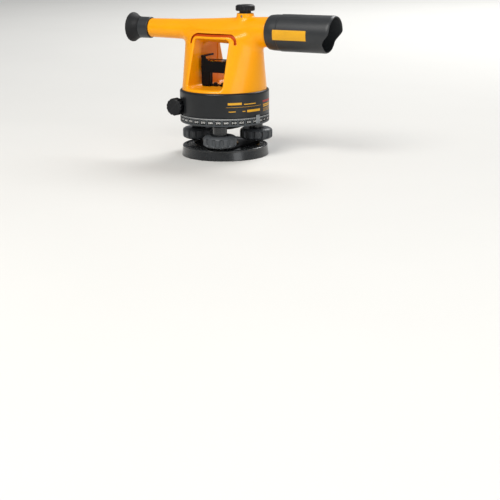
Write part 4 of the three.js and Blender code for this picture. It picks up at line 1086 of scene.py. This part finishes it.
def vial_frame(x, y, z):
    side = np.abs(x)
    top = FRAME_HIGH[2]
    face = rect(x, z - (FOOT_Z + top) / 2, FRAME_END, (top - FOOT_Z) / 2, 3.2)
    face = union(face, box(side, 0, z, (FRAME_END - 4, -1, 115), (FRAME_END, 1, top), 0.5))
    face = carve(face, np.maximum(side - POST_INNER, z - BAR_Z), 1.2)
    scoop = union(np.maximum(side - FRAME_END + 13, BAR_TOP - z),
                  np.hypot(side - FRAME_END + 13.4, z - BAR_TOP - 8.2) - 8.2, 1)
    face = carve(face, scoop, 0.4)
    whole = meet(face, np.abs(y - FRAME_FRONT - 1) - 1, 0.5)
    post = box(side, y, z, (POST_INNER, FRAME_FRONT, FOOT_Z), (FRAME_END - 1, POST_BACK, 107.3), 1)
    whole = union(whole, post, 1)
    cheek = box(side, y, z, (FRAME_END - CHEEK, FRAME_FRONT, BAR_Z),
                (FRAME_END, HOLDER_BACK, BAR_TOP), 0.6)
    arm = box(side, y, z, (FRAME_END - CHEEK + 0.4, FRAME_FRONT, top - 2.4),
              (FRAME_END, FRAME_BACK, top), 0.7)
    whole = union(union(whole, cheek, 0.8), arm, 0.8)
    tray = box(x, y, z, (-FRAME_END, FRAME_FRONT, BAR_Z), (FRAME_END, HOLDER_BACK, BAR_Z + 2), 0.6)
    back = box(x, y, z, (-FRAME_END, HOLDER_BACK - 2, BAR_Z),
               (FRAME_END, HOLDER_BACK, BAR_TOP + 1.4), 0.6)
    whole = union(union(whole, tray, 0.8), back, 0.8)
    foot = box(side, y, z, (1, POST_BACK - 5, FOOT_Z), (POST_INNER + 1, POST_BACK, FOOT_Z + 2.4),
               0.6)
    whole = union(whole, foot, 0.4)
    return carve(whole, np.hypot(side - 5.5, y - FRAME_FRONT - 6.5) - 1.5, 0.3)


moulded("vial_holder", vial_frame, 0.36, "vial_frame", MATT)
vial_mid = middle("vial_tube")
VIAL_AT = (0, vial_mid[1], vial_mid[2])
VIAL_R, VIAL_END = high("vial_tube")[2] - vial_mid[2], high("vial_tube")[0]
sleeve("vial_glass", "x", VIAL_AT, "vial_tube", GLASS, VIAL_R - 1.2, VIAL_R, -VIAL_END, VIAL_END,
       longest=1.5)
SPIRIT_R, SPIRIT_END = VIAL_R - 1.5, high("vial_spirit")[0]


def vial_spirit(x, y, z):
    dy, dz = y - VIAL_AT[1], z - VIAL_AT[2]
    liquid = drum(np.hypot(dy, dz), x, SPIRIT_R, -SPIRIT_END, SPIRIT_END, 1.2)
    bubble = np.sqrt((x / 7) ** 2 + (dy / 3.3) ** 2 + ((dz - SPIRIT_R + 0.6) / 2.2) ** 2) - 1
    return carve(liquid, bubble * 2.2, 0.3)


moulded("vial_liquid", vial_spirit, 0.33, "vial_spirit", SPIRIT)
round_angles = np.linspace(0, 2 * pi, 97)
rings = [band(x - 0.28, 0.56, VIAL_AT, VIAL_R + 0.05, round_angles) for x in (-9.4, -7.4, 7.4, 9.4)]
new_piece("vial_rings", *joined(rings), "vial_tube", BLACK_PRINT, stands=False)
for end in ("left", "right"):
    cap = f"vial_{end}_cap"
    sleeve(f"vial_{end}_end_cap", "x", VIAL_AT, cap, BRASS, VIAL_R + 0.3, VIAL_R + 0.9,
           low(cap)[0], high(cap)[0], steps=64, radius=0.15, longest=0.4)
    screw = f"vial_{end}_screw"
    head, top = low(screw)[2], high(screw)[2]
    turn(f"vial_{end}_cap_screw", [
        (0, head), (2.6, head), (2.6, top, 0.5), (1.3, top, 0.1), (1.3, top - 1.1, 0),
        (0, top - 1.1),
    ], "z", (*middle(screw)[:2], 0), screw, BLACKENED, steps=48, radius=0.2, longest=0.25,
        shape=hexed(1.3, top - 1.1, top))


# ---- what stays a CAD solid ----
for node, material in (("focus_pinion", STEEL), ("focus_carriage", ANODISED)):
    materials = frame["nodes"][node].data.materials
    materials.clear()
    materials.append(material)


# ---- camera, lights and floor ----
camera = add("camera", bpy.data.cameras.new("camera"))
bpy.context.scene.camera = camera
right = Vector((0.8828, 0.4697, -0.0076)).normalized()
ahead = Vector((-0.4552, 0.8514, -0.2607)).normalized()
upward = right.cross(ahead).normalized()
turned = Matrix((right, upward, -ahead)).transposed()
camera.matrix_world = Matrix.Translation((0.7748, -1.3835, 0.2983)) @ turned.to_4x4()
camera.data.lens = 89.4
camera.data.sensor_width = 36


def area_light(name, place, target, size, power, colour):
    light = bpy.data.lights.new(name, "AREA")
    light.shape, light.size, light.energy, light.color = "DISK", size, power, colour
    holder = add(name, light)
    holder.location = place
    holder.rotation_mode = "QUATERNION"
    holder.rotation_quaternion = (Vector(target) - Vector(place)).to_track_quat("-Z", "Y")


MIDDLE_OF_LEVEL = (0, 0, 0.1)
area_light("key", (-0.1, -1.5, 1.7), MIDDLE_OF_LEVEL, 1.2, 36, (1, 0.98, 0.95))
area_light("fill", (1.5, -0.8, 0.5), MIDDLE_OF_LEVEL, 1.1, 8, (0.96, 0.98, 1))
area_light("back", (0.2, 2.3, 2.2), (-0.3, 1.9, 0), 2, 75, (1, 1, 1))
world = bpy.data.worlds.new("studio")
bpy.context.scene.world = world
world.use_nodes = True
background = world.node_tree.nodes["Background"]
background.inputs["Color"].default_value = (0.94, 0.96, 1, 1)
background.inputs["Strength"].default_value = 0.26
bpy.context.scene.view_settings.view_transform = "Standard"

floor_mesh = bpy.data.meshes.new("floor")
floor_mesh.from_pydata([(-9, -9, 0), (9, -9, 0), (9, 9, 0), (-9, 9, 0)], [], [(0, 1, 2, 3)])
floor_mesh.materials.append(finish("floor_paper", "e0dfdb", 0.8, mottle=0.01, patch=3,
                                   relief=0.01, grain=500))
add("floor", floor_mesh)
